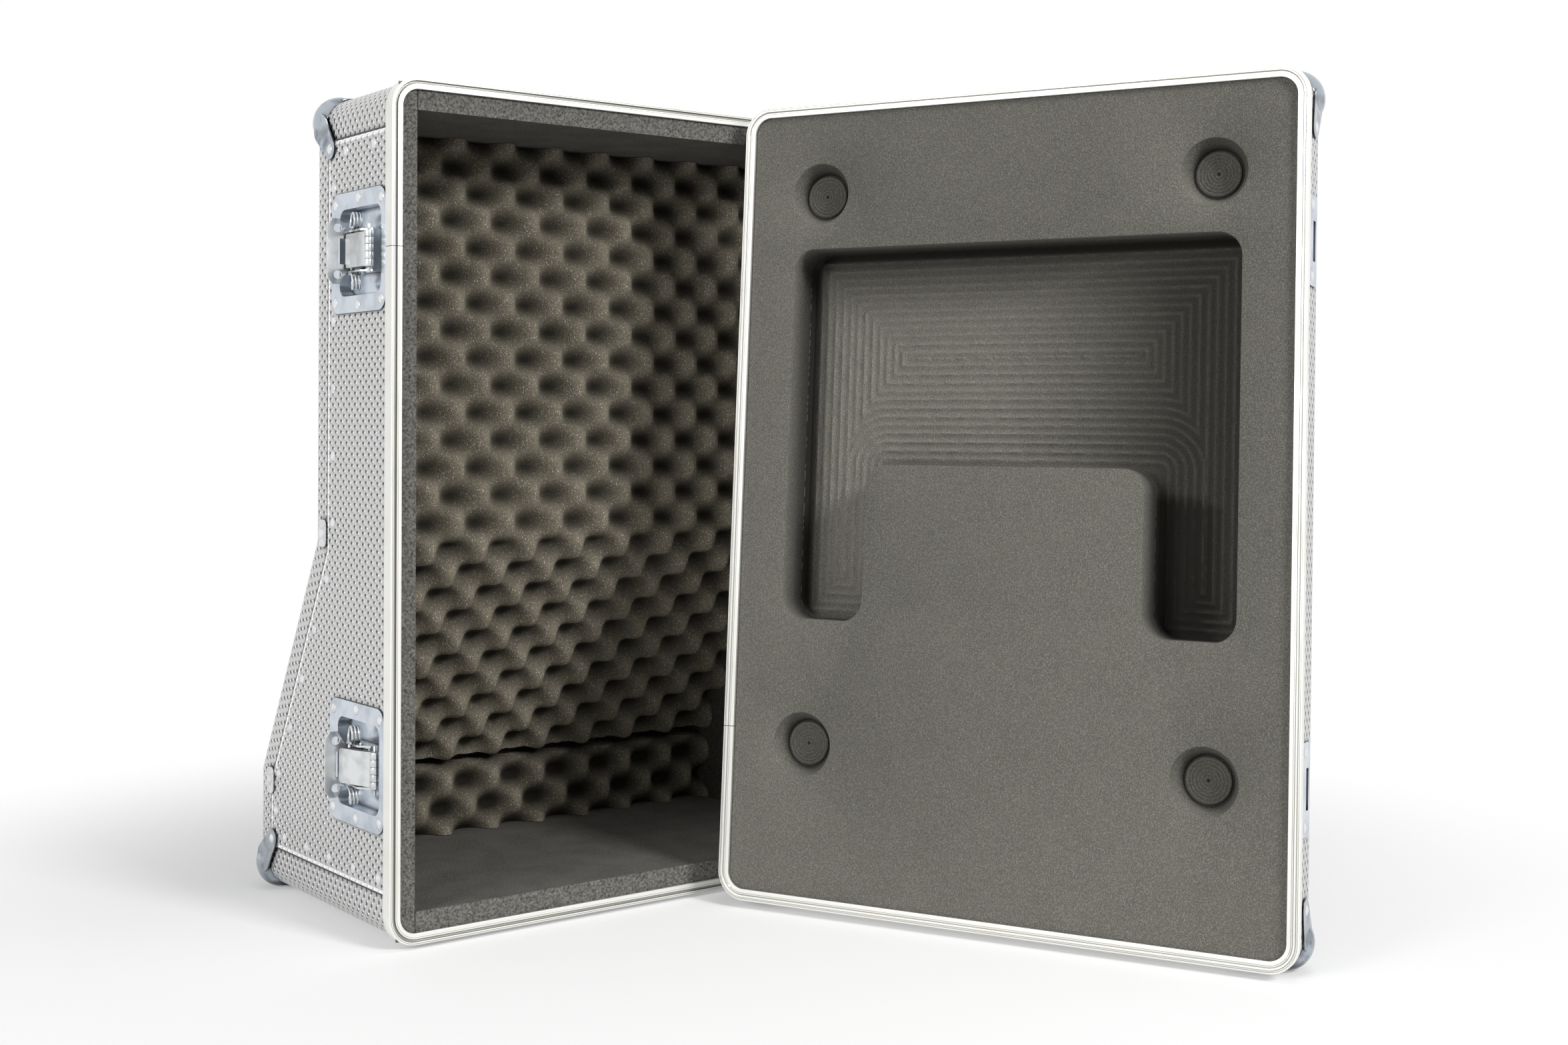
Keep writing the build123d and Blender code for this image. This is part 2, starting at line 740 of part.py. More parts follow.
# Points of the wire more than half a turn apart along it give the least gap to itself
half_turn_length = pi * spring_radius
least = min(
    (a - b).length
    for i, (a, at) in enumerate(spring_points)
    for b, bt in spring_points[i + 1 :]
    if bt - at > half_turn_length
)
print("latch spring, least gap to itself:", round(least - 2 * spring_wire, 2), "mm")

# The lower left latch was left with its link rocked in at the rim end
pivot_place = Location((pivot_u, 0, pivot_w))
for name, seat in latch_seats.items():
    tilt = lower_left_tilt if name == "left_lower" else 0
    rocked = seat * pivot_place * Location((0, 0, 0), (0, tilt, 0)) * pivot_place.inverse()
    places = {"dish": seat, "bracket": seat, "springs": seat, "link": rocked, "plate": rocked, "wing": seat}
    makes = {"dish": dish, "bracket": bracket, "springs": springs, "link": link, "plate": plate, "wing": wing}
    for piece_name, place in places.items():
        with BuildPart() as latch_piece:
            with Locations(place):
                add(makes[piece_name].part)
        finish(latch_piece.part, f"latch_{name}_{piece_name}")

with BuildPart() as latch_rivets:
    add(rivet_group(dish_rivet_seats, grip_two))
finish(latch_rivets.part, "latch_rivets")

# The tray stands on its two rear ball corners and leans on the cover's rim.
# The middle of its foot is found from the ball that touches the floor and the one nearest the rim,
# which nestles a little past the rim's front, against its inner edge.
tray_turned = Location((0, 0, 0), (0, 0, tray_turn))
tray_tilted = tray_turned * Location((0, 0, 0), (tray_lean, 0, 0)) * Location((0, 0, 0), (0, tray_roll, 0))
ball_inset = ball_radius - ball_proud
ball_y = tray_depth - ball_inset
ball_x = skin_x - ball_inset
ball_low_z = skin_inset + ball_inset
ball_high_z = case_height - skin_inset - ball_inset
low_balls = [(tray_tilted * Location((side * ball_x, ball_y, ball_low_z))).position for side in (-1, 1)]
tray_z = ball_radius - min(ball.Z for ball in low_balls)
near_ball = (tray_tilted * Location((-ball_x, ball_y, ball_high_z))).position
tray_y = tray_nestle - near_ball.Y - ball_radius
tray_place = Location((tray_x, tray_y, tray_z)) * tray_tilted
print("tray stands at", [round(v, 3) for v in tuple(to_origin.position + tray_place.position)])

tray_corners = []
for side in (-1, 1):
    tray_corners.append(((side * skin_x, tray_depth, case_height - skin_inset), (side, 1, 1)))
    tray_corners.append(((side * skin_x, tray_depth, skin_inset), (side, 1, -1)))
tray_lifts = (0, 0, 0)
tray_reach = (ear_reach, tray_ear_reach, ear_reach)
tray_ear_seats = []
for corner, out in tray_corners:
    tray_ear_seats += ear_seats(corner, out, tray_lifts, tray_reach)

catch_places = {}
for side_name, side in (("left", -1), ("right", 1)):
    for level_name, level in (("upper", 1), ("lower", -1)):
        catch_z = case_height / 2 + level * latch_spacing / 2
        plane = Plane(origin=(side * skin_x, 0, catch_z), x_dir=(0, -1, 0), z_dir=(side, 0, 0))
        catch_places[f"{side_name}_{level_name}"] = plane.location
catch_rivet_seats = [
    place * Location((-catch_rivet_y, v, catch_sheet))
    for place in catch_places.values()
    for v in (-catch_rivet_half, catch_rivet_half)
]
with BuildPart() as tray_holes:
    add(shank_holes(tray_ear_seats, grip_two))
    add(shank_holes(catch_rivet_seats, catch_sheet + sheet))


def finish_in_tray(part, name):
    """Places a piece that was drawn in the tray's frame and writes it."""
    with BuildPart() as placed:
        with Locations(tray_place):
            add(part)
    finish(placed.part, name)


with BuildPart() as tray_rivets:
    add(rivet_group(tray_ear_seats, grip_two))
    add(rivet_group(catch_rivet_seats, catch_sheet + sheet))
finish_in_tray(tray_rivets.part, "tray_rivets")

# Catch: a riveted plate whose slot opens into a pressed cup behind the sheet
cup_length = catch_slot_length + 2 * catch_sheet
cup_width = catch_slot_width + 2 * catch_sheet
catch_front = tray_band + catch_setback
with BuildPart() as catch:
    with BuildSketch(Plane.XY):
        with Locations((-(catch_front + catch_width / 2), 0)):
            RectangleRounded(catch_width, catch_length, catch_slot_width / 2)
    extrude(amount=catch_sheet)
    with BuildSketch(Plane.XY.offset(catch_sheet)):
        with Locations((-catch_slot_y, 0)):
            Rectangle(cup_width, cup_length)
    extrude(amount=-(catch_cup_depth + 2 * catch_sheet))
    with BuildSketch(Plane.XY.offset(catch_sheet)):
        with Locations((-catch_slot_y, 0)):
            Rectangle(catch_slot_width, catch_slot_length)
    extrude(amount=-(catch_cup_depth + catch_sheet), mode=Mode.SUBTRACT)
    with Locations((-catch_rivet_y, -catch_rivet_half, 0), (-catch_rivet_y, catch_rivet_half, 0)):
        Cylinder(shank_radius + hole_play, 4 * catch_sheet, mode=Mode.SUBTRACT)

with BuildPart() as cup_room:
    for place in catch_places.values():
        with Locations(place * Location((-catch_slot_y, 0, 0))):
            play = 2 * window_play
            Box(cup_width + play, cup_length + play, 2 * (catch_cup_depth + catch_sheet) + play)
for name, place in catch_places.items():
    with BuildPart() as catch_placed:
        with Locations(place):
            add(catch.part)
    finish_in_tray(catch_placed.part, f"tray_catch_{name}")

# Tray sheets: one wraps the back and both long sides, the other two close the ends
with BuildPart() as tray_shell:
    add(tray_block(0, rim_wall))
    add(tray_block(sheet, -far), mode=Mode.SUBTRACT)
    add(tray_holes.part, mode=Mode.SUBTRACT)
    add(cup_room.part, mode=Mode.SUBTRACT)
end_seam = skin_inset + edge_radius
tray_regions = {
    "tray_bottom_sheet": (-far, end_seam),
    "tray_back_sheet": (end_seam, case_height - end_seam),
    "tray_top_sheet": (case_height - end_seam, far),
}
for name, (low, high) in tray_regions.items():
    with BuildPart() as tray_sheet:
        add(tray_shell.part)
        block_between((-far, -far, low), (far, far, high), mode=Mode.INTERSECT)
    finish_in_tray(tray_sheet.part, name)

tray_seat_block = tray_block(-ball_gap, -far)
with BuildPart() as tray_ball_corners:
    for corner, out in tray_corners:
        add(ball_corner(corner, out, tray_lifts, tray_reach, tray_seat_block))
finish_in_tray(tray_ball_corners.part, "tray_ball_corners")

# The tray's rim carries the tongue that enters the cover's groove
with BuildPart() as tray_rim:
    add(rim_profile(tray_band))
    add(ring(-tongue_height, rim_wall / 2, groove_inset + tongue_play, groove_width - 2 * tongue_play))
finish_in_tray(tray_rim.part, "tray_rim")

# Tray foam: a cut-out layer glued on a base layer, with a pocket for the desk and a
# round recess for each of its transit feet
pocket_outline = [
    (-pocket_half, pocket_top),
    (pocket_half, pocket_top),
    (pocket_half, pocket_leg_bottom),
    (tongue_half, pocket_leg_bottom),
    (tongue_half, tongue_top),
    (-tongue_half, tongue_top),
    (-tongue_half, pocket_leg_bottom),
    (-pocket_half, pocket_leg_bottom),
]
tray_foam_room = tray_block(sheet + foam_gap, tray_foam_front)
front_plane = Plane(origin=(0, tray_foam_front, 0), x_dir=(1, 0, 0), z_dir=(0, -1, 0))
with BuildPart() as tray_foam:
    add(tray_foam_room)
    add(ring(0, tray_band + foam_gap, skin_inset, flange_inset + flange_wall + foam_gap - skin_inset), mode=Mode.SUBTRACT)
    with BuildSketch(front_plane) as pocket:
        with BuildLine():
            Polyline(*pocket_outline, close=True)
        make_face()
        fillet(pocket.vertices(), pocket_corner)
    extrude(amount=-(pocket_depth - tray_foam_front), mode=Mode.SUBTRACT)
    for x in (-foot_half, foot_half):
        for z in (foot_low, foot_high):
            with Locations(front_plane.location * Location((x, z, -foot_depth / 2))):
                Cone(foot_floor_radius, foot_radius, foot_depth, mode=Mode.SUBTRACT)
    add(cup_room.part, mode=Mode.SUBTRACT)

layer_y = tray_foam_front + tray_foam_layer
for name, near, past in (("tray_foam_cutout", -far, layer_y), ("tray_foam_base", layer_y, far)):
    with BuildPart() as foam_layer:
        add(tray_foam.part)
        block_between((-far, near, -far), (far, past, far), mode=Mode.INTERSECT)
    finish_in_tray(foam_layer.part, name)
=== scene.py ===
import bmesh
import bpy
import numpy as np
from mathutils import Matrix, Vector
from mathutils.geometry import delaunay_2d_cdt


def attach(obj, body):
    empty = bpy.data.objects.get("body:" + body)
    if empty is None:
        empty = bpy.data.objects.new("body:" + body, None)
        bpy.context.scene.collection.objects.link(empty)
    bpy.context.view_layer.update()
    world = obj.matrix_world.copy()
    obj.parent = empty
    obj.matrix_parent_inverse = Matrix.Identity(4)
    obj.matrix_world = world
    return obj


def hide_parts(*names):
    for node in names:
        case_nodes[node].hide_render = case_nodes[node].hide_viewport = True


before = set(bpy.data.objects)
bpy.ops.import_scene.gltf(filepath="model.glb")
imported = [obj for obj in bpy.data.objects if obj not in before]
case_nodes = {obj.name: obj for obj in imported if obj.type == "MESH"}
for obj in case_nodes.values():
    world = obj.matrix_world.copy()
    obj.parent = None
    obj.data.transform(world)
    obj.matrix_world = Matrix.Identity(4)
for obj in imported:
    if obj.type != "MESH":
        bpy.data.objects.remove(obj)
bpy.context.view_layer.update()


# The camera and its room. A camera with a normal lens stands at the cover's left front, a
# little above the middle of the case. The room is white. The main light stands high to the
# right of the camera, so that the tray shades the cover's right half.
def turned(axis, degrees):
    """A 3 x 3 rotation about X, Y or Z, from the cosine and sine of the angle."""
    c, s = np.cos(np.radians(degrees)), np.sin(np.radians(degrees))
    i, j = {"X": (1, 2), "Y": (2, 0), "Z": (0, 1)}[axis]
    rotation = np.eye(3)
    rotation[i, i] = rotation[j, j] = c
    rotation[i, j], rotation[j, i] = -s, s
    return rotation


def add_node(finish, kind, inputs=None, **settings):
    """One shader node, its settings made, and its inputs set to numbers or linked to sockets."""
    tree = finish.node_tree
    node = tree.nodes.new("ShaderNode" + kind)
    for key, value in settings.items():
        setattr(node, key, value)
    for key, value in (inputs or {}).items():
        if isinstance(value, bpy.types.NodeSocket):
            tree.links.new(value, node.inputs[key])
        else:
            node.inputs[key].default_value = value
    return node


def maths(finish, operation, *values):
    """The result of one operation on up to three numbers or sockets."""
    return add_node(finish, "Math", dict(enumerate(values)), operation=operation).outputs[0]


heading, tilt, roll = -37.494, 1.22, 0.042
camera_place = (-0.94945, -1.43724, 0.43476)
look = turned("Z", heading) @ turned("X", tilt) @ turned("Y", roll)
stand = np.eye(4)
stand[:3, 0], stand[:3, 1], stand[:3, 2] = look[:, 0], look[:, 2], -look[:, 1]
stand[:3, 3] = camera_place
lens = bpy.data.cameras.new("camera")
lens.lens = 43.41
lens.sensor_width = 36
lens.shift_y = -0.0918
camera = bpy.data.objects.new("camera", lens)
camera.matrix_world = Matrix(stand.tolist())
bpy.context.scene.collection.objects.link(camera)
bpy.context.scene.camera = camera
bpy.context.scene.view_settings.view_transform = "Standard"


def soft_panel(name, place, target, size, power):
    """A square lamp at place that faces target."""
    lamp = bpy.data.lights.new(name, "AREA")
    lamp.shape = "SQUARE"
    lamp.size = size
    lamp.energy = power
    holder = bpy.data.objects.new(name, lamp)
    away = np.subtract(place, target)
    away = away / np.linalg.norm(away)
    right = np.cross((0, 0, 1), away)
    right = right / np.linalg.norm(right)
    pose = np.eye(4)
    pose[:3, 0], pose[:3, 1], pose[:3, 2], pose[:3, 3] = right, np.cross(away, right), away, place
    holder.matrix_world = Matrix(pose.tolist())
    bpy.context.scene.collection.objects.link(holder)


soft_panel("lamp_right", place=(0.35, -2.7, 1.7), target=(0, -0.1, 0.35), size=0.7, power=58)
soft_panel("lamp_left", place=(-2.7, -0.7, 1.1), target=(0, 0, 0.35), size=0.9, power=36)
soft_panel("lamp_above", place=(0.1, -0.6, 2.6), target=(0.1, -0.1, 0.3), size=1.2, power=14)

wall_light = 0.18
room = bpy.data.worlds.new("room")
bpy.context.scene.world = room
room.use_nodes = True
room.node_tree.nodes.clear()
rays = add_node(room, "LightPath").outputs
seen = maths(room, "MAXIMUM", rays["Is Camera Ray"], rays["Is Glossy Ray"])
seen = maths(room, "MAXIMUM", seen, rays["Is Transmission Ray"])
dim = add_node(room, "Background", {"Color": (1, 1, 1, 1), "Strength": wall_light})
white = add_node(room, "Background", {"Color": (1, 1, 1, 1), "Strength": 1.0})
mixed = add_node(room, "MixShader", {0: seen, 1: dim.outputs[0], 2: white.outputs[0]})
add_node(room, "OutputWorld", {"Surface": mixed.outputs[0]})


# The floor: a wide disc of white paper under the ball corners, with no edge to be seen,
# because it clears away round the case. It keeps the case's soft shadow.
def weave(rows, cols, closed=False):
    """Quads over a grid of rows x cols points, whose rows are joined end to end where closed."""
    r = np.arange(rows - 1)[:, None]
    c = np.arange(cols if closed else cols - 1)[None]
    after = (c + 1) % cols
    quads = [r * cols + c, r * cols + after, (r + 1) * cols + after, (r + 1) * cols + c]
    return np.stack(quads, -1).reshape(-1, 4)


def ranged(finish, value, low, high, start=0.0, stop=1.0, curve="LINEAR"):
    """The value carried from low and high over to start and stop, and held there beyond them."""
    inputs = {"Value": value, "From Min": low, "From Max": high, "To Min": start, "To Max": stop}
    return add_node(finish, "MapRange", inputs, interpolation_type=curve).outputs["Result"]


def place_on(finish):
    """The place on the piece, in metres."""
    return add_node(finish, "TexCoord").outputs["Object"]


floor_middle = (0.05, 0.0, -0.003)
floor_radius = 3.2
clear_from, clear_to = 0.42, 1.0
rings, spokes = 33, 64
from_middle = np.linspace(0.01, floor_radius, rings)
angle = np.linspace(0, 2 * np.pi, spokes + 1)[:-1]
floor_x = floor_middle[0] + np.outer(from_middle, np.cos(angle))
floor_y = np.outer(from_middle, np.sin(angle))
floor_points = np.stack([floor_x, floor_y, np.full_like(floor_x, floor_middle[2])], -1).reshape(-1, 3)
floor_faces = weave(rings, spokes, closed=True).tolist() + [list(range(spokes))]
floor_mesh = bpy.data.meshes.new("floor")
floor_mesh.from_pydata(floor_points.tolist(), [], floor_faces)
floor = bpy.data.objects.new("floor", floor_mesh)
bpy.context.scene.collection.objects.link(floor)
paper = bpy.data.materials.new("floor_paper")
paper.use_nodes = True
paper.node_tree.nodes.clear()
reach = add_node(paper, "VectorMath", {0: place_on(paper), 1: floor_middle}, operation="DISTANCE")
fade = ranged(paper, reach.outputs["Value"], clear_from, clear_to, curve="SMOOTHSTEP")
chalk = add_node(paper, "BsdfDiffuse", {"Color": (0.72, 0.72, 0.72, 1)})
glow = add_node(paper, "Emission", {"Color": (1, 1, 1, 1), "Strength": 0.3})
matt = add_node(paper, "AddShader", {0: chalk.outputs[0], 1: glow.outputs[0]})
clear = add_node(paper, "BsdfTransparent")
edge = add_node(paper, "MixShader", {0: fade, 1: matt.outputs[0], 2: clear.outputs[0]})
add_node(paper, "OutputMaterial", {"Surface": edge.outputs[0]})
floor.data.materials.append(paper)


# The two rims: extruded aluminium, with a groove round the cover's mouth and a tongue round
# the tray's. Each bar is bent round four corners until its ends meet on the left side, and grey
# lines of painted shade run along it at fixed distances from its outer edge. The tray leans on the
# cover, turned to the right.
def blend(finish, factor, colour, other):
    """The colour where the factor is 0 and the other one where it is 1."""
    pair = [tone if isinstance(tone, bpy.types.NodeSocket) else (*tone, 1) for tone in (colour, other)]
    return add_node(finish, "Mix", {"Factor": factor, 6: pair[0], 7: pair[1]}, data_type="RGBA").outputs[2]


def noise(finish, place, scale, detail, rough=0.5):
    """A noise with about scale cells to the metre."""
    inputs = {"Vector": place, "Scale": scale, "Detail": detail, "Roughness": rough}
    return add_node(finish, "TexNoise", inputs).outputs["Fac"]


def relief(finish, height, distance, strength, below=None):
    """The surface's direction when a height from 0 to 1 lifts it by distance, over the one below."""
    inputs = {"Height": height, "Distance": distance, "Strength": strength}
    if below is not None:
        inputs["Normal"] = below
    return add_node(finish, "Bump", inputs).outputs["Normal"]


def dot(finish, place, way):
    """How far a place lies along a way."""
    return add_node(finish, "VectorMath", {0: place, 1: way}, operation="DOT_PRODUCT").outputs["Value"]


def new_finish(name, values):
    """A material and its shader, with plain values on some of the shader's sockets."""
    finish = bpy.data.materials.new(name)
    finish.use_nodes = True
    shader = finish.node_tree.nodes["Principled BSDF"]
    for socket, value in values.items():
        shader.inputs[socket].default_value = value
    return finish, shader


def feed(finish, shader, sources):
    """Links sources to the shader's sockets."""
    for socket, source in sources.items():
        finish.node_tree.links.new(source, shader.inputs[socket])


def crease_shaded(finish, colour, shaded_share, reach, low, high):
    """The colour, darkened with painted shade towards black where other surfaces stand close within
    reach: under heads, lips and ears. The number after the colour is the share of the colour left there.
    Low and high are the shares of open air between which the painted shade clears."""
    air = add_node(finish, "AmbientOcclusion", {"Distance": reach}, samples=5).outputs["AO"]
    return blend(finish, ranged(finish, air, low, high, shaded_share, 1.0), (0.02, 0.02, 0.025), colour)


def plain_metal(
    name, colour, stain_and_reflection, rough, metal=1.0, clouds=22.0, shaded_share=0.12, reach=0.007, low=0.25, high=0.92
):
    """A metal whose colour and roughness drift with clouds to the metre, under a fine grain. Its
    colour carries painted shade in creases, and the clouds' second colour is a stain on most metals
    and a painted reflection on the zinc.
    """
    finish, shader = new_finish(name, {"Metallic": metal})
    place = place_on(finish)
    cloud = noise(finish, place, clouds, 6.0)
    tint = blend(finish, ranged(finish, cloud, 0.45, 0.75), colour, stain_and_reflection)
    grain = noise(finish, place, 900.0, 3.0)
    feed(finish, shader, {
        "Base Color": crease_shaded(finish, tint, shaded_share, reach, low, high),
        "Roughness": ranged(finish, cloud, 0.3, 0.7, rough * 0.75, rough * 1.3),
        "Normal": relief(finish, grain, 0.00004, 0.6),
    })
    return finish


def dress(node, finish, ease=0.0):
    """Gives a node its finish. Ease is how far its sharp edges are rounded, once its loose
    triangles are joined."""
    piece = case_nodes[node]
    piece.data.materials.clear()
    piece.data.materials.append(finish)
    if ease:
        weld = piece.modifiers.new("weld", "WELD")
        weld.merge_threshold = 0.00001
        bevel = piece.modifiers.new("ease", "BEVEL")
        bevel.width = ease
        bevel.segments = 2
        bevel.limit_method = "ANGLE"
        bevel.angle_limit = np.radians(35)
        bevel.harden_normals = False


half_wide, half_tall, rim_corner = 0.259, 0.36, 0.025
shade_lines = ((0.0016, 0.00022), (0.0029, 0.0002), (0.0052, 0.0003), (0.0066, 0.00018))


def rim_lines(finish, foot, across, along, joint_height):
    """Grey lines of painted shade at their distances from the rim's outer edge, each twice as wide as
    its second number, and a dark line where the bar's ends meet, on the side where across is below zero.
    The distance is that to a rectangle with round corners: beyond the corners' middles it is
    the length of both ways out, and elsewhere the larger of the two."""
    spot = add_node(finish, "VectorMath", {0: place_on(finish), 1: foot}, operation="SUBTRACT").outputs[0]
    side, rise = dot(finish, spot, across), dot(finish, spot, along)
    past = []
    for value, half in ((side, half_wide), (maths(finish, "SUBTRACT", rise, half_tall), half_tall)):
        past.append(maths(finish, "SUBTRACT", maths(finish, "ABSOLUTE", value), half - rim_corner))
    outer = [maths(finish, "MAXIMUM", value, 0.0) for value in past]
    pair = add_node(finish, "CombineXYZ", {0: outer[0], 1: outer[1]}).outputs[0]
    bent = add_node(finish, "VectorMath", {0: pair}, operation="LENGTH").outputs["Value"]
    straight = maths(finish, "MINIMUM", maths(finish, "MAXIMUM", *past), 0.0)
    reach = maths(finish, "ADD", bent, straight)
    shader = finish.node_tree.nodes["Principled BSDF"]
    tone = shader.inputs["Base Color"].links[0].from_socket
    # Each grey line is painted shade along the rim.
    for inset, half_width in shade_lines:
        line = maths(finish, "COMPARE", reach, rim_corner - inset, half_width)
        tone = blend(finish, line, tone, (0.32, 0.31, 0.27))
    near = maths(finish, "COMPARE", rise, joint_height, 0.0003)
    joint = maths(finish, "MULTIPLY", near, maths(finish, "LESS_THAN", side, 0.0))
    feed(finish, shader, {"Base Color": blend(finish, joint, tone, (0.05, 0.05, 0.05))})
    return finish


x_way, y_way, z_way = (1, 0, 0), (0, 1, 0), (0, 0, 1)
origin = (0, 0, 0)
tray_turn = turned("Z", -65.604) @ turned("X", -4.105) @ turned("Y", 0.2)
tray_foot = (0.1505, -0.279233, 0.00366)
tray_across, tray_out, tray_up = [tuple(tray_turn[:, k]) for k in range(3)]
tray_down = tuple(-tray_turn[:, 2])
for body, foot, across, along, joint_height in (
    ("cover", origin, x_way, z_way, 0.578),
    ("tray", tray_foot, tray_across, tray_up, 0.153),
):
    bar = plain_metal(f"{body}_extrusion", (0.90, 0.90, 0.86), (0.82, 0.81, 0.74), rough=0.34, metal=0.5)
    dress(f"{body}_rim", rim_lines(bar, foot, across, along, joint_height), ease=0.0005)


# The ball corners: balls with ears, pressed from steel sheet and plated with zinc, which is
# shiny, bluish and cloudy. Its clouds are painted nearly black, as painted reflections of dark
# things round the case. The ears are riveted down round the case's corners.
zinc = plain_metal(
    "zinc_plate", (0.43, 0.47, 0.52), (0.07, 0.08, 0.10),
    rough=0.15, clouds=60.0, shaded_share=0.03, reach=0.010, low=0.55, high=0.97,
)
for node in ("cover_ball_corners", "tray_ball_corners"):
    dress(node, zinc, ease=0.0004)


# The seam tabs: small plates cut from aluminium sheet, riveted over the ends of the seams
# above and below the cover's slope.
tab_aluminium = plain_metal(
    "tab_aluminium", (0.74, 0.75, 0.75), (0.60, 0.61, 0.61),
    rough=0.26, metal=0.8, clouds=60.0, shaded_share=0.04, reach=0.002, low=0.5,
)
dress("cover_seam_tabs", tab_aluminium, ease=0.0004)


# The rivets: bright aluminium pop rivets with domed heads, along the seams, in the ears and
# in the latch dishes' flanges. A thin ring of painted shade shows where each head meets its sheet.
rivet_metal = plain_metal(
    "rivet_aluminium", (0.80, 0.81, 0.82), (0.66, 0.67, 0.69),
    rough=0.22, metal=0.9, clouds=90.0, shaded_share=0.0, reach=0.003, low=0.72, high=0.95,
)
for node in ("cover_rivets", "latch_rivets", "tray_rivets"):
    dress(node, rivet_metal)


# The latches and their catches on the tray. Dishes and catches are pressed from steel sheet
# and plated; bracket, link, plate and wing are of thicker steel with a whiter plate; and the
# two springs of each latch are wound from bright wire.
dish_metal = plain_metal(
    "dish_plate", (0.61, 0.66, 0.72), (0.42, 0.47, 0.53),
    rough=0.2, metal=0.9, clouds=50.0, shaded_share=0.12, reach=0.004, low=0.5, high=0.96,
)
latch_metal = plain_metal(
    "latch_steel", (0.74, 0.76, 0.77), (0.50, 0.51, 0.51),
    rough=0.22, metal=0.85, clouds=70.0, shaded_share=0.02, reach=0.003, low=0.55, high=0.96,
)
wire_metal = plain_metal(
    "spring_wire", (0.70, 0.72, 0.74), (0.52, 0.54, 0.56),
    rough=0.25, metal=0.9, clouds=70.0, shaded_share=0.1, reach=0.002,
)
for latch in ("left_upper", "left_lower", "right_upper", "right_lower"):
    dress(f"latch_{latch}_dish", dish_metal, ease=0.0004)
    dress(f"tray_catch_{latch}", dish_metal, ease=0.0003)
    for part in ("bracket", "link", "plate", "wing"):
        dress(f"latch_{latch}_{part}", latch_metal, ease=0.0003)
    dress(f"latch_{latch}_springs", wire_metal)


# The skins: sheet aluminium with a staggered pattern of low round bumps, rolled in before
# the sheets are cut and bent. Each bump has a crescent of painted shade on one side. The pattern
# runs on round the bends of each sheet, and along the side panels' edges a band of painted
# highlight is drawn, with a line of painted shadow beside it.
slope = np.arctan2(121, 218)
slope_out = (0, np.cos(slope), np.sin(slope))
slope_run = (0, np.sin(slope), -np.cos(slope))
panel_back_upper, panel_back_lower = 0.1236, 0.2446
panel_low, panel_bend, panel_high = 0.041, 0.3194, 0.679


def panel_edge(finish, colour):
    """The colour with a band of painted highlight inside the side panel's edge and a line of painted
    shadow along the edge itself. A place's distance inside the panel is the least of those to its
    top, its bottom and its back, and the back's is the larger of those to the upper line and to what
    lies inside both the slope and the lower line."""
    place = place_on(finish)
    split = add_node(finish, "SeparateXYZ", {"Vector": place}).outputs
    to_upper = maths(finish, "SUBTRACT", panel_back_upper, split["Y"])
    to_lower = maths(finish, "SUBTRACT", panel_back_lower, split["Y"])
    reach = panel_back_upper * np.cos(slope) + panel_bend * np.sin(slope)
    to_slope = maths(finish, "SUBTRACT", reach, dot(finish, place, slope_out))
    back = maths(finish, "MAXIMUM", to_upper, maths(finish, "MINIMUM", to_slope, to_lower))
    to_top = maths(finish, "SUBTRACT", panel_high, split["Z"])
    to_bottom = maths(finish, "SUBTRACT", split["Z"], panel_low)
    inside = maths(finish, "MINIMUM", back, maths(finish, "MINIMUM", to_top, to_bottom))
    # A band of painted highlight just inside the edge, and a line of painted shadow on it.
    edge_highlight = maths(finish, "COMPARE", inside, 0.0028, 0.0015)
    edge_shadow = maths(finish, "COMPARE", inside, 0.0002, 0.0011)
    bright = blend(finish, edge_highlight, colour, (0.97, 0.97, 0.97))
    return blend(finish, edge_shadow, bright, (0.05, 0.05, 0.05))


def round_the_bends(finish, place, node, foot, across, out, along, ends):
    """A sheet's own u and v. u runs from its middle line over its flat face and round both bends:
    past a bend, the way back from the face is added to across on the right and taken from it on
    the left. v runs along it, and past the ends (low, high), where the sheet bends over the end
    of the case, the way back is taken from v at the low end and added to it at the high one."""
    sheet = case_nodes[node].data.vertices
    points = np.empty(3 * len(sheet))
    sheet.foreach_get("co", points)
    face = ((points.reshape(-1, 3) - foot) @ np.array(out, float)).max()
    spot = add_node(finish, "VectorMath", {0: place, 1: foot}, operation="SUBTRACT").outputs[0]
    side, away, run = [dot(finish, spot, way) for way in (across, out, along)]
    back = maths(finish, "SUBTRACT", away, face)
    below = maths(finish, "LESS_THAN", run, ends[0])
    above = maths(finish, "GREATER_THAN", run, ends[1])
    lapped = maths(finish, "SUBTRACT", above, below)
    on_flank = maths(finish, "SUBTRACT", 1.0, maths(finish, "ABSOLUTE", lapped))
    sideways = maths(finish, "MULTIPLY", maths(finish, "SIGN", side), on_flank)
    u = maths(finish, "SUBTRACT", side, maths(finish, "MULTIPLY", sideways, back))
    v = maths(finish, "SUBTRACT", run, maths(finish, "MULTIPLY", lapped, back))
    return u, v


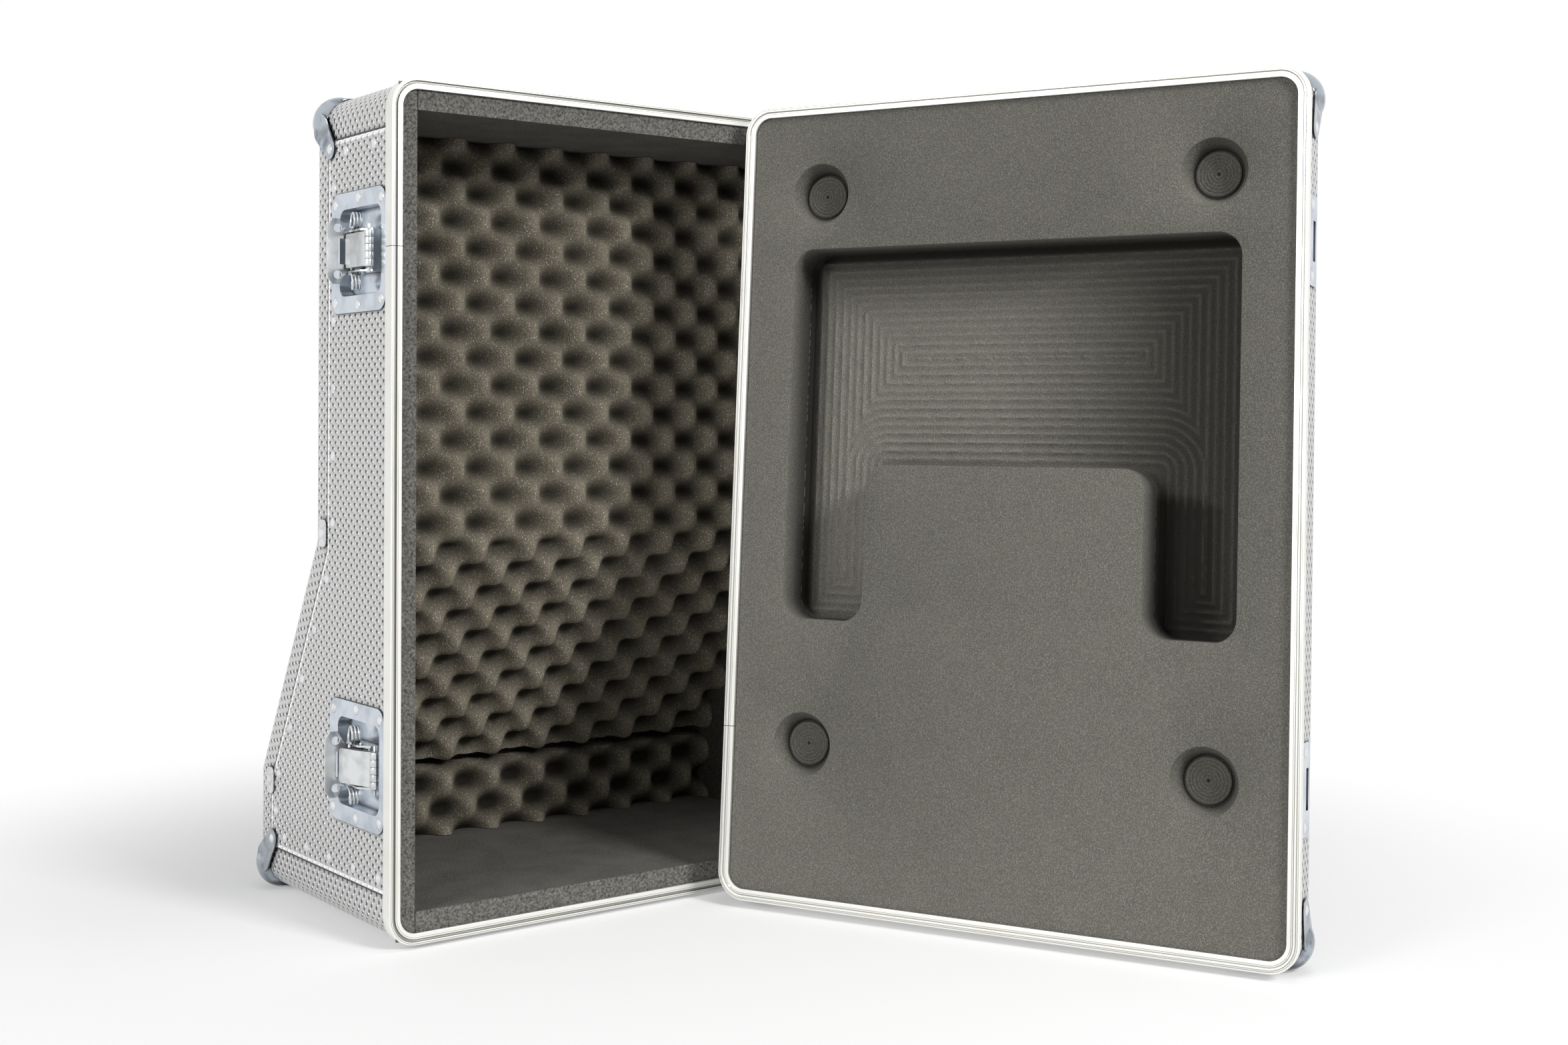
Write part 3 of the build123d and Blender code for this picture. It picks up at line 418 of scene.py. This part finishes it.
def embossed(node, foot, across, out, along, ends, pitch_u, pitch_v, edged=True):
    """Bumps at the crests of cos(2 pi u / pitch_u) cos(2 pi v / pitch_v). A crescent of painted shade
    on one side of each is the same product with both angles taken back by 0.75, so it lies a little
    past the crest."""
    finish, shader = new_finish(node + "_skin", {"Metallic": 0.7})
    place = place_on(finish)
    u, v = round_the_bends(finish, place, node, foot, across, out, along, ends)
    turns = [maths(finish, "MULTIPLY", w, 2 * np.pi / pitch) for w, pitch in ((u, pitch_u), (v, pitch_v))]
    crest = maths(finish, "MULTIPLY", *[maths(finish, "COSINE", turn) for turn in turns])
    # The crescent of painted shade, a little past each bump's crest.
    lagging = [maths(finish, "SUBTRACT", turn, 0.75) for turn in turns]
    flank = maths(finish, "MULTIPLY", *[maths(finish, "COSINE", turn) for turn in lagging])
    lift = ranged(finish, crest, 0.15, 0.85, curve="SMOOTHSTEP")
    crescent_shade = ranged(finish, flank, 0.3, 0.85, curve="SMOOTHSTEP")
    tone = blend(finish, crescent_shade, (0.62, 0.62, 0.615), (0.05, 0.05, 0.05))
    if edged:
        tone = panel_edge(finish, tone)
    haze = ranged(finish, noise(finish, place, 14.0, 5.0), 0.35, 0.7, 0.28, 0.40)
    pressed = relief(finish, lift, 0.0014, 1.0)
    # Creases, such as the rings round the rivets, get painted shade as well.
    feed(finish, shader, {
        "Base Color": crease_shaded(finish, tone, shaded_share=0.02, reach=0.005, low=0.68, high=0.97),
        "Roughness": maths(finish, "MULTIPLY_ADD", lift, -0.10, haze),
        "Normal": relief(finish, noise(finish, place, 700.0, 3.0), 0.00003, 0.5, pressed),
    })
    return finish


long_pitch, short_pitch = 0.0111, 0.0095
no_ends = (-1, 1)
flat = (0, 0, 0)
case_ends = (0.016, 0.704)
panel_foot = (0, -0.5, 0)
for node, foot, across, out, along, ends in (
    ("cover_side_panel_left", panel_foot, y_way, flat, z_way, no_ends),
    ("cover_side_panel_right", panel_foot, y_way, flat, z_way, no_ends),
    ("cover_back_upper_sheet", origin, x_way, y_way, z_way, case_ends),
    ("cover_back_lower_sheet", origin, x_way, y_way, z_way, case_ends),
    ("cover_back_slope_sheet", origin, x_way, slope_out, slope_run, no_ends),
    ("cover_top_sheet", origin, x_way, z_way, y_way, no_ends),
    ("cover_bottom_sheet", origin, x_way, (0, 0, -1), y_way, no_ends),
):
    dress(node, embossed(node, foot, across, out, along, ends, long_pitch, short_pitch))
for node, out, along in (
    ("tray_back_sheet", tray_out, tray_up),
    ("tray_top_sheet", tray_up, tray_out),
    ("tray_bottom_sheet", tray_down, tray_out),
):
    skin = embossed(node, tray_foot, tray_across, out, along, no_ends, short_pitch, long_pitch, edged=False)
    dress(node, skin)


# The planks round the cover's walls, of closed-cell foam 10 to 20 mm thick, cut with a knife.
# Those at the sides follow the side view of the case and reach out to the rim at the front,
# where the cut has torn the cells open. Foam is matt and dusty, and lighter where it is cut.
def in_cover(points):
    """Millimetres from the floor under the rim's front, as the cover is drawn, to metres."""
    return (np.asarray(points, float) - (0, 6.4, 3)) / 1000


def foam_piece(name, blocks, finish, body, nodes, painted_shades=None):
    """One foam piece from blocks of points and faces. Its seams are welded, and it stands for the
    nodes. The last argument gives each point its painted shade, from 0 to 1."""
    points, faces, count = [], [], 0
    for block_points, block_faces in blocks:
        points.extend(np.reshape(block_points, (-1, 3)).tolist())
        faces.extend((np.asarray(block_faces) + count).tolist())
        count = len(points)
    mesh = bpy.data.meshes.new(name)
    mesh.from_pydata(points, [], faces)
    depth = mesh.attributes.new("painted_shade", "FLOAT", "POINT")
    depth.data.foreach_set("value", np.zeros(len(points)) if painted_shades is None else np.ravel(painted_shades))
    shape = bmesh.new()
    shape.from_mesh(mesh)
    bmesh.ops.remove_doubles(shape, verts=shape.verts, dist=1e-6)
    bmesh.ops.recalc_face_normals(shape, faces=shape.faces)
    shape.to_mesh(mesh)
    shape.free()
    mesh.shade_smooth()
    mesh.set_sharp_from_angle(angle=np.radians(40))
    mesh.materials.append(finish)
    piece = bpy.data.objects.new(name, mesh)
    bpy.context.scene.collection.objects.link(piece)
    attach(piece, body)
    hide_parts(*nodes)


def foam_finish(name, deep, plain, speck, pits, cells, glint_share=0.0, cut=0.0):
    """Matt foam: three tones mixed by a broad and a fine noise, with cells to the metre as pits of
    a depth. A share of larger cells can hold bright flecks, which are painted glints, and the faces at
    the rim can be cut: lighter and coarser. Where a point's painted shade is high, it goes nearly black."""
    finish, shader = new_finish(name, {"Roughness": 0.95, "Specular IOR Level": 0.18})
    place = place_on(finish)
    fine = noise(finish, place, cells, 4.0)
    ground = blend(finish, ranged(finish, noise(finish, place, 30.0, 5.0), 0.35, 0.65), deep, plain)
    tone = blend(finish, ranged(finish, fine, 0.44, 0.66), ground, speck)
    # A share of larger cells is painted with a bright fleck, a painted glint.
    bits = add_node(finish, "TexVoronoi", {"Vector": place, "Scale": 480.0}).outputs
    chance = add_node(finish, "SeparateColor", {"Color": bits["Color"]}).outputs[0]
    chosen = maths(finish, "LESS_THAN", chance, glint_share)
    small = maths(finish, "LESS_THAN", bits["Distance"], 0.27)
    dotted = blend(finish, maths(finish, "MULTIPLY", chosen, small), tone, (0.62, 0.60, 0.55))
    from_front = add_node(finish, "SeparateXYZ", {"Vector": place}).outputs["Y"]
    at_rim = ranged(finish, from_front, -0.0026, -0.0018, cut, 0.0)
    tear = ranged(finish, noise(finish, place, 430.0, 6.0, 0.85), 0.38, 0.66)
    knifed = blend(finish, tear, np.multiply(deep, 0.5), np.multiply(speck, 1.5))
    faced = blend(finish, at_rim, dotted, knifed)
    # Painted shade: each point's own number darkens it towards nearly black.
    painted_shade = add_node(finish, "Attribute", attribute_name="painted_shade").outputs["Fac"]
    cell = add_node(finish, "TexVoronoi", {"Vector": place, "Scale": cells * 1.3}).outputs["Distance"]
    feed(finish, shader, {
        "Base Color": blend(finish, painted_shade, faced, np.multiply(deep, 0.10)),
        "Normal": relief(finish, maths(finish, "ADD", cell, fine), pits, 0.9),
    })
    return finish


def fan(count):
    """Triangles from a ring of count points to the one point after them."""
    ring = np.arange(count)
    return np.stack([ring, np.roll(ring, -1), np.full(count, count)], -1)


plank_foam = foam_finish(
    "plank_foam", (0.075, 0.072, 0.064), (0.115, 0.11, 0.10), (0.20, 0.195, 0.18),
    pits=0.0004, cells=900.0, cut=1.0,
)


def plank(name, outline, middle, rings, node):
    """Rings of the outline (y, z), with points about 9 mm apart, each at its x and drawn in by its
    inset, closed by fans from middle. All but the front is drawn in by behind as well, to follow
    the bends of the sheets, and the points at the front stand further out by lip."""
    corners = np.asarray(outline, float)
    steps = []
    for start, end in zip(corners, np.roll(corners, -1, axis=0)):
        count = max(2, int(np.linalg.norm(end - start) / 9))
        steps.append(start + (end - start) * np.linspace(0, 1, count, endpoint=False)[:, None])
    path = np.concatenate(steps)
    run = np.roll(path, -1, axis=0) - np.roll(path, 1, axis=0)
    run /= np.linalg.norm(run, axis=1)[:, None]
    inward = np.stack([-run[:, 1], run[:, 0]], -1)
    if np.sum(inward * (np.asarray(middle) - path)) < 0:
        inward = -inward
    at_front = path[:, 0] < path[:, 0].min() + 0.1
    layers = []
    for x, inset, behind, lip in rings:
        ring = path + inward * (inset + behind * ~at_front)[:, None]
        layers.append(np.column_stack([x + lip * at_front, ring]))
    first, last = layers[0], layers[-1]
    for scale in (0.97, 0.6, 0.2):
        shrunk = [middle + (ring[:, 1:] - middle) * scale for ring in (first, last)]
        layers.insert(0, np.column_stack([np.full(len(path), rings[0][0]), shrunk[0]]))
        layers.append(np.column_stack([np.full(len(path), rings[-1][0]), shrunk[1]]))
    blocks = [(in_cover(np.concatenate(layers)), weave(len(layers), len(path), closed=True))]
    for end in (layers[0], layers[-1]):
        hub = np.array([[end[0, 0], *middle]])
        blocks.append((in_cover(np.concatenate([end, hub])), fan(len(path))))
    foam_piece(name, blocks, plank_foam, "cover", [node])


top_corner = [(153.2, 718.5), (162.8, 713), (168.5, 702.6)]
low_corner = [(289.5, 23.4), (283.8, 13), (274.2, 7.5)]
side_view = [(3.5, 7.5), (3.5, 718.5), *top_corner, (168.5, 332.4), (289.5, 114.4), *low_corner]
side_rings = (
    (234.0, 1.2, 0, 0),
    (234.4, 0.35, 0, 0),
    (235.3, 0, 0, 0),
    (238, 0, 0, 2),
    (241, 0, 1.2, 5),
    (243.8, 0, 2.8, 8),
    (243.9, 0.4, 3, 7.6),
)
for side_name, side in (("left", -1), ("right", 1)):
    rings = [(side * x, inset, behind, side * lip) for x, inset, behind, lip in side_rings]
    plank(f"lining_{side_name}_plank", side_view, (85, 130), rings, f"lining_{side_name}")
eased_ends = ((-233.8, 0.8), (-233.2, 0), (-120, 0), (0, 0), (120, 0), (233.2, 0), (233.8, 0.8))
end_rings = [(x, inset, 0, 0) for x, inset in eased_ends]
top_view = [(3.5, 696.2), (3.5, 716), (159, 716), (165.1, 710.2), (168.5, 702.6), (168.5, 696.2)]
plank("lining_top_plank", top_view, (85, 706), end_rings, "lining_top")
low_view = [(3.5, 10), (3.5, 29.8), (289.5, 29.8), (289.5, 23.4), (286.1, 15.8), (280, 10)]
plank("lining_bottom_plank", low_view, (145, 20), end_rings, "lining_bottom")


# The convoluted sheets on the cover's back, like egg boxes: staggered soft cones, cut from a
# squeezed block. One sheet lies on the upper wall and goes on down the slope in one soft
# bend, with its end cut across; the other stands on the lower wall behind it.
egg_finish = foam_finish(
    "egg_foam", (0.175, 0.156, 0.116), (0.22, 0.197, 0.148), (0.35, 0.315, 0.245),
    pits=0.0005, cells=700.0, glint_share=0.3,
)
cone_height = 11
turn_across, turn_down = 52, 51
sheet_top, upper_surface, lower_surface = 696, 135.1, 256.1
upper_thickness = 33.2
lower_wall = 289.4


def cones(x, z, crest_z):
    """The cone's height times the sum of cos X cos Z and 0.16 (cos 2X less cos 2Z), where X turns
    once in turn_across mm and Z once in turn_down mm, and added to it two slow waves of less than
    1 mm that make the cones a little uneven."""
    x_angle = 2 * np.pi * (x + 78) / turn_across
    z_angle = 2 * np.pi * (z - crest_z) / turn_down
    soft = 0.5 * np.sin(x / 61 + z / 43) + 0.4 * np.sin(x / 29 - z / 37)
    sharper = 0.16 * (np.cos(2 * x_angle) - np.cos(2 * z_angle))
    return cone_height * (np.cos(x_angle) * np.cos(z_angle) + sharper) + soft


def down_the_back(s, bend, radius=40.0):
    """Places (y, z) and forward ways of the cones' middle surface, at lengths s down the upper
    wall, round the bend and down the slope. The wall's bend stands at z = 333 mm, and moves
    down by 0.2588 of the 35.9 mm between the wall and the surface."""
    drop = sheet_top - (333 - 0.2588 * 35.9)
    straight = drop - radius * np.tan(bend / 2)
    angle = np.clip((s - straight) / radius, 0, bend)
    before = np.minimum(s, straight)
    after = np.maximum(s - straight - radius * bend, 0)
    forward = np.stack([-np.cos(angle), -np.sin(angle)], -1)
    onward = np.stack([np.sin(angle), -np.cos(angle)], -1)
    centre = np.stack([np.full_like(s, upper_surface + radius), sheet_top - before], -1)
    return centre + radius * forward + onward * after[:, None], forward


def closed_slab(front, back):
    """Points and faces of a slab between two grids, each point of the edge joined to its twin."""
    rows, cols = front.shape[:2]
    count = rows * cols
    number = np.arange(count).reshape(rows, cols)
    loop = np.concatenate([number[0, :-1], number[:-1, -1], number[-1, :0:-1], number[:0:-1, 0]])
    after = np.roll(loop, -1)
    walls = np.stack([loop, after, after + count, loop + count], -1)
    face = weave(rows, cols)
    points = np.concatenate([front.reshape(-1, 3), back.reshape(-1, 3)])
    return points, np.concatenate([face, face[:, ::-1] + count, walls])


def in_the_dips(height, more=0.0):
    """The painted shade of each point in the cones' dips: nothing from 6 mm up, and all of it 17 mm
    lower, with more added all over.
    """
    return np.clip((6 - height) / 17 + more, 0, 1)


across_sheet = np.linspace(-233.7, 233.7, 145)
down_sheet = np.linspace(0.3, 620.5, 190)
place, forward = down_the_back(down_sheet, slope)
height = cones(across_sheet[None], sheet_top - down_sheet[:, None], 545)
front_yz = place[:, None] + forward[:, None] * height[..., None]
back_yz = place[:, None] - forward[:, None] * np.full_like(height, upper_thickness)[..., None]
wide = np.broadcast_to(across_sheet[None, :, None], front_yz[..., :1].shape)
bent_block = closed_slab(*[in_cover(np.concatenate([wide, yz], -1)) for yz in (front_yz, back_yz)])
painted_shades = [in_the_dips(height)] * 2
upper_nodes = ["egg_foam_upper", "egg_foam_slope"]
foam_piece("egg_foam_bent_sheet", [bent_block], egg_finish, "cover", upper_nodes, painted_shades)

up_sheet = np.linspace(30.4, 98.5, 24)
height = cones(across_sheet[None], up_sheet[:, None], 79)
wide, tall = np.broadcast_arrays(across_sheet[None], up_sheet[:, None])
low_front = np.stack([wide, lower_surface - height, tall], -1)
low_back = np.stack([wide, np.full_like(wide, lower_wall), tall], -1)
low_block = closed_slab(in_cover(low_front), in_cover(low_back))
# The low sheet lies deep at the cover's bottom and gets more painted shade all over.
painted_shades = [in_the_dips(height, more=0.2)] * 2
foam_piece("egg_foam_low_sheet", [low_block], egg_finish, "cover", ["egg_foam_lower"], painted_shades)


# The tray's cut-out layer: firm foam 36 mm thick, glued on a base layer. A U-shaped pocket for
# the desk is cut through it, and four round recesses take the desk's feet: turned cups whose
# walls narrow to a groove round a floor of fine rings, with a small hole in its middle.
tray_finish = foam_finish(
    "tray_foam", (0.124, 0.119, 0.103), (0.134, 0.129, 0.111), (0.232, 0.226, 0.198),
    pits=0.00035, cells=900.0,
)
pocket_side, pocket_top, pocket_foot = 205, 586, 252.5
tongue_side, tongue_top = 127, 391.5
pocket_corners = [(-pocket_side, pocket_top), (pocket_side, pocket_top), (pocket_side, pocket_foot)]
pocket_corners += [(tongue_side, pocket_foot), (tongue_side, tongue_top)]
pocket_corners += [(-x, z) for x, z in pocket_corners[:1:-1]]
tray_face, glue_line = 3.5, 39.4


def in_tray(points):
    """Millimetres in the tray's own frame, with y from its rim's front to its back, to metres."""
    return np.asarray(points, float) / 1000 @ tray_turn.T + tray_foot


def rounded_path(corners, radius, step):
    """A closed path (x, z) with an arc at each corner, and its normals to the right of its run."""
    corners = np.asarray(corners, float)
    path, normals = [], []
    for k, here in enumerate(corners):
        before, after = corners[k - 1], corners[(k + 1) % len(corners)]
        come = (here - before) / np.linalg.norm(here - before)
        leave = (after - here) / np.linalg.norm(after - here)
        side = np.sign(come[0] * leave[1] - come[1] * leave[0])
        centre = here - radius * come + radius * side * np.array([-come[1], come[0]])
        angle = side * np.linspace(0, np.pi / 2, max(4, round(radius * 1.57 / step)))
        right = np.outer(np.cos(angle), (come[1], -come[0])) + np.outer(np.sin(angle), come)
        path.append(centre + radius * side * right)
        normals.append(right)
        start, stop = here + radius * leave, after - radius * leave
        count = int(np.linalg.norm(stop - start) / step)
        share = np.arange(1, count)[:, None] / count
        path.append(start + (stop - start) * share)
        normals.append(np.broadcast_to([leave[1], -leave[0]], path[-1].shape))
    return np.concatenate(path), np.concatenate(normals)


def within(places, loop):
    """Which places (x, z) lie inside a closed loop, by the count of crossings to their right."""
    found = np.zeros(len(places), bool)
    for start, end in zip(loop, np.roll(loop, -1, axis=0)):
        spans = (start[1] > places[:, 1]) != (end[1] > places[:, 1])
        if start[1] != end[1]:
            cut = start[0] + (places[:, 1] - start[1]) * (end[0] - start[0]) / (end[1] - start[1])
            found ^= spans & (places[:, 0] < cut)
    return found


def filled(loops, more=None):
    """Points and triangles over the first loop less the others, through the extra points."""
    points, edges = [], []
    for loop in loops:
        first = len(points)
        points.extend(loop.tolist())
        edges.extend((first + k, first + (k + 1) % len(loop)) for k in range(len(loop)))
    if more is not None:
        points.extend(more.tolist())
    found = delaunay_2d_cdt([Vector(p) for p in points], edges, [], 0, 1e-5)
    flat, faces = np.array([tuple(v) for v in found[0]]), np.array(found[2])
    middles = flat[faces].mean(axis=1)
    kept = within(middles, loops[0])
    for loop in loops[1:]:
        kept &= ~within(middles, loop)
    return flat, faces[kept]


def at_depth(flat, y):
    """Points (x, z) set at depth y in the tray's frame."""
    return np.column_stack([flat[:, 0], np.broadcast_to(y, len(flat)), flat[:, 1]])


def ring_wall(path, normals, profile):
    """A wall through rings of the path, each moved along its normals by out and set at depth y."""
    rings = [at_depth(path + normals * out, y) for out, y in profile]
    return in_tray(np.concatenate(rings)), weave(len(rings), len(path), closed=True)


def tray_outline(inset, radius):
    """The tray's outline of 518 by 720 mm drawn in by inset, as a path with its normals outwards."""
    low, high, half = inset, 720 - inset, 259 - inset
    return rounded_path([(-half, low), (half, low), (half, high), (-half, high)], radius, 12.0)


pocket, into_pocket = rounded_path(pocket_corners, 20, 3.0)
edge_path, edge_out = tray_outline(6.8, 18.0)
pocket_wall = [
    (-1.0, tray_face), (-0.35, 3.75), (0, 4.5), (0.3, 15), (-0.2, 28), (0, 38.6), (-0.8, glue_line)
]
outer_wall = [(0, tray_face), (0, 7), (-6.8, 14.5), (-6.8, glue_line)]
circle = np.linspace(0, 2 * np.pi, 65)[:-1]
spokes = np.stack([np.cos(circle), np.sin(circle)], -1)
cup = [(28.7, tray_face), (28.2, 3.8), (27.8, 4.6), (26.0, 8), (24.0, 12), (22.0, 16.5)]
cup += [(20.9, 20.4), (19.5, 20.6), (19.1, 18.7), (18.6, 18.2)]
cup += [(r, 18.6 - 0.6 * np.cos(np.pi * r / 2.9) ** 6) for r in np.arange(18.2, 1.2, -0.48)] + [(1.1, 19.6)]
cup_middles = [np.array((x, z)) for x in (-181, 181) for z in (142, 636.5)]

mouths = [centre + cup[0][0] * spokes for centre in cup_middles]
face_flat, face_triangles = filled([edge_path, pocket + into_pocket * pocket_wall[0][0], *mouths])
back_edges = [edge_path + edge_out * outer_wall[-1][0], pocket + into_pocket * pocket_wall[-1][0]]
back_flat, back_triangles = filled(back_edges)
blocks = [
    (in_tray(at_depth(face_flat, tray_face)), face_triangles),
    ring_wall(pocket, into_pocket, pocket_wall),
    ring_wall(edge_path, edge_out, outer_wall),
    (in_tray(at_depth(back_flat, glue_line)), back_triangles),
]
for centre in cup_middles:
    rings = [at_depth(centre + radius * spokes, y) for radius, y in cup]
    blocks.append((in_tray(np.concatenate(rings)), weave(len(rings), len(spokes), closed=True)))
    blocks.append((in_tray(np.concatenate([rings[-1], at_depth(centre[None], 20.2)])), fan(len(spokes))))

# The colour is painted with shade where little light comes: on the pocket's wall the deeper it
# goes, on one side of each cup's walls, in the groove and between the fine rings, and in the hole in
# each cup.
wall_depth = (blocks[1][0] - tray_foot) @ tray_turn[:, 1] * 1000
painted_shades = [np.zeros(len(block[0])) for block in blocks[:4]]
painted_shades[1] = np.clip((wall_depth - 6) / 34, 0, 0.8)
on_ring = [
    np.clip((y - 8) / 12, 0, 1) ** 2 * 0.65 if r > 19.2 else 0.4 * np.clip((y - 18.0) / 0.6, 0, 1.5)
    for r, y in cup
]
on_flank = np.outer([20.0 < r < 28.0 for r, y in cup], 0.22 * (1 + np.cos(circle - 0.9)))
in_cup = np.ravel(np.clip(np.array(on_ring)[:, None] + on_flank, 0, 0.95))
painted_shades += [in_cup, np.full(len(spokes) + 1, 0.9)] * len(cup_middles)
cutout = ["tray_foam_cutout"]
foam_piece("tray_foam_cut_layer", blocks, tray_finish, "tray", cutout, np.concatenate(painted_shades))


# The tray's base layer, glued behind the cut-out layer. Its foam is painted paler, as painted light
# on the pocket's floor, which painted shade darkens again to the right. Its pocket's floor is milled
# in rounds that follow the pocket's outline, and thin ridges stay between them.
base_finish = foam_finish(
    "tray_base_foam", (0.180, 0.172, 0.150), (0.196, 0.187, 0.162), (0.31, 0.295, 0.26),
    pits=0.00035, cells=900.0,
)
base_face, base_back, milled_floor = 39.6, 55.8, 48
round_width, ridge_height = 7.6, 1.6


def from_outline(places):
    """The distance of places (x, z) to the pocket's square outline, in mm."""
    nearest = np.full(len(places), 1e9)
    corners = np.array(pocket_corners, float)
    for start, end in zip(corners, np.roll(corners, -1, axis=0)):
        run = end - start
        along = np.clip((places - start) @ run / (run @ run), 0, 1)
        nearest = np.minimum(nearest, np.linalg.norm(places - start - along[:, None] * run, axis=1))
    return nearest


def milled(places):
    """The floor's depth less its ridges: the fifth power of a cosine of the distance to the outline
    between rounds of the cutter, uneven along their run, and a torn crest where the last rounds met."""
    x, z = places[:, 0], places[:, 1]
    distance = from_outline(places)
    ridge = np.abs(np.cos(np.pi * (distance - round_width / 2) / round_width + np.pi / 2)) ** 5
    torn = 0.75 + 0.15 * np.sin(x / 3.1 + z / 7.7) + 0.1 * np.sin(z / 2.3 - x / 9.1)
    above_tongue = np.exp(-((z - 488.75) / 0.9) ** 2) * (np.abs(x) < 104)
    in_legs = np.exp(-((np.abs(x) - 166) / 0.9) ** 2) * (z > 292) * (z < 372)
    last = (above_tongue + in_legs) * (torn > 0.7)
    return milled_floor - ridge_height * (ridge * torn * np.clip(distance / 3, 0, 1) + last)


floor_edge = pocket + into_pocket * 0.5
grid = np.stack(np.meshgrid(np.arange(-203.4, 204, 1.6), np.arange(254.1, 585.5, 1.6)), -1)
grid = grid.reshape(-1, 2)
grid = grid[within(grid, pocket + into_pocket * 1.3)]
floor_flat, floor_triangles = filled([floor_edge], grid)
base_wall = ((-0.8, base_face), (0, 40.4), (0.1, 47.2))
wall_rings = [at_depth(pocket + into_pocket * out, y) for out, y in base_wall]
wall_points = np.concatenate([*wall_rings, at_depth(floor_edge, milled(floor_edge))])
base_path, base_out = tray_outline(22.5, 10.0)
top_flat, top_triangles = filled([base_path, pocket + into_pocket * base_wall[0][0]])
under_flat, under_triangles = filled([base_path])
blocks = [
    (in_tray(at_depth(floor_flat, milled(floor_flat))), floor_triangles),
    (in_tray(wall_points), weave(len(base_wall) + 1, len(pocket), closed=True)),
    (in_tray(at_depth(top_flat, base_face)), top_triangles),
    ring_wall(base_path, base_out, [(0, base_face), (0, base_back)]),
    (in_tray(at_depth(under_flat, base_back)), under_triangles),
]

# The floor is painted with shade to the right, beside its left and upper walls, down the right leg
# and close to every wall. The ridges' crests are painted lighter and the rounds between them darker.
flats = np.concatenate([floor_flat, wall_points[:, ::2]])
x, z = flats[:, 0], flats[:, 1]
far = np.clip((x + 60) / 230, 0, 1)
to_right = 0.72 * far ** 2 * (3 - 2 * far)
by_left, by_top = np.exp(-(x + pocket_side) / 12), np.exp(-(pocket_top - z) / 24)
leg = np.clip((405 - z) / 45, 0, 1) * (x > 100) * (1 - 0.3 * np.clip((x - 158) / 30, 0, 1))
by_wall = 0.5 * np.exp(-from_outline(flats) / 6)
shaded = np.max([to_right, by_left, by_top, leg, by_wall], axis=0)
depths = np.concatenate([milled(floor_flat), np.full(len(wall_points), float(milled_floor))])
crest = np.clip((milled_floor - depths) / 1.3, 0, 1)
shaded = np.clip(shaded + 0.12 * (1 - crest) - 0.08 * crest, 0, 0.97)
painted_shades = np.concatenate([shaded, np.zeros(sum(len(block[0]) for block in blocks[2:]))])
foam_piece("tray_foam_base_layer", blocks, base_finish, "tray", ["tray_foam_base"], painted_shades)
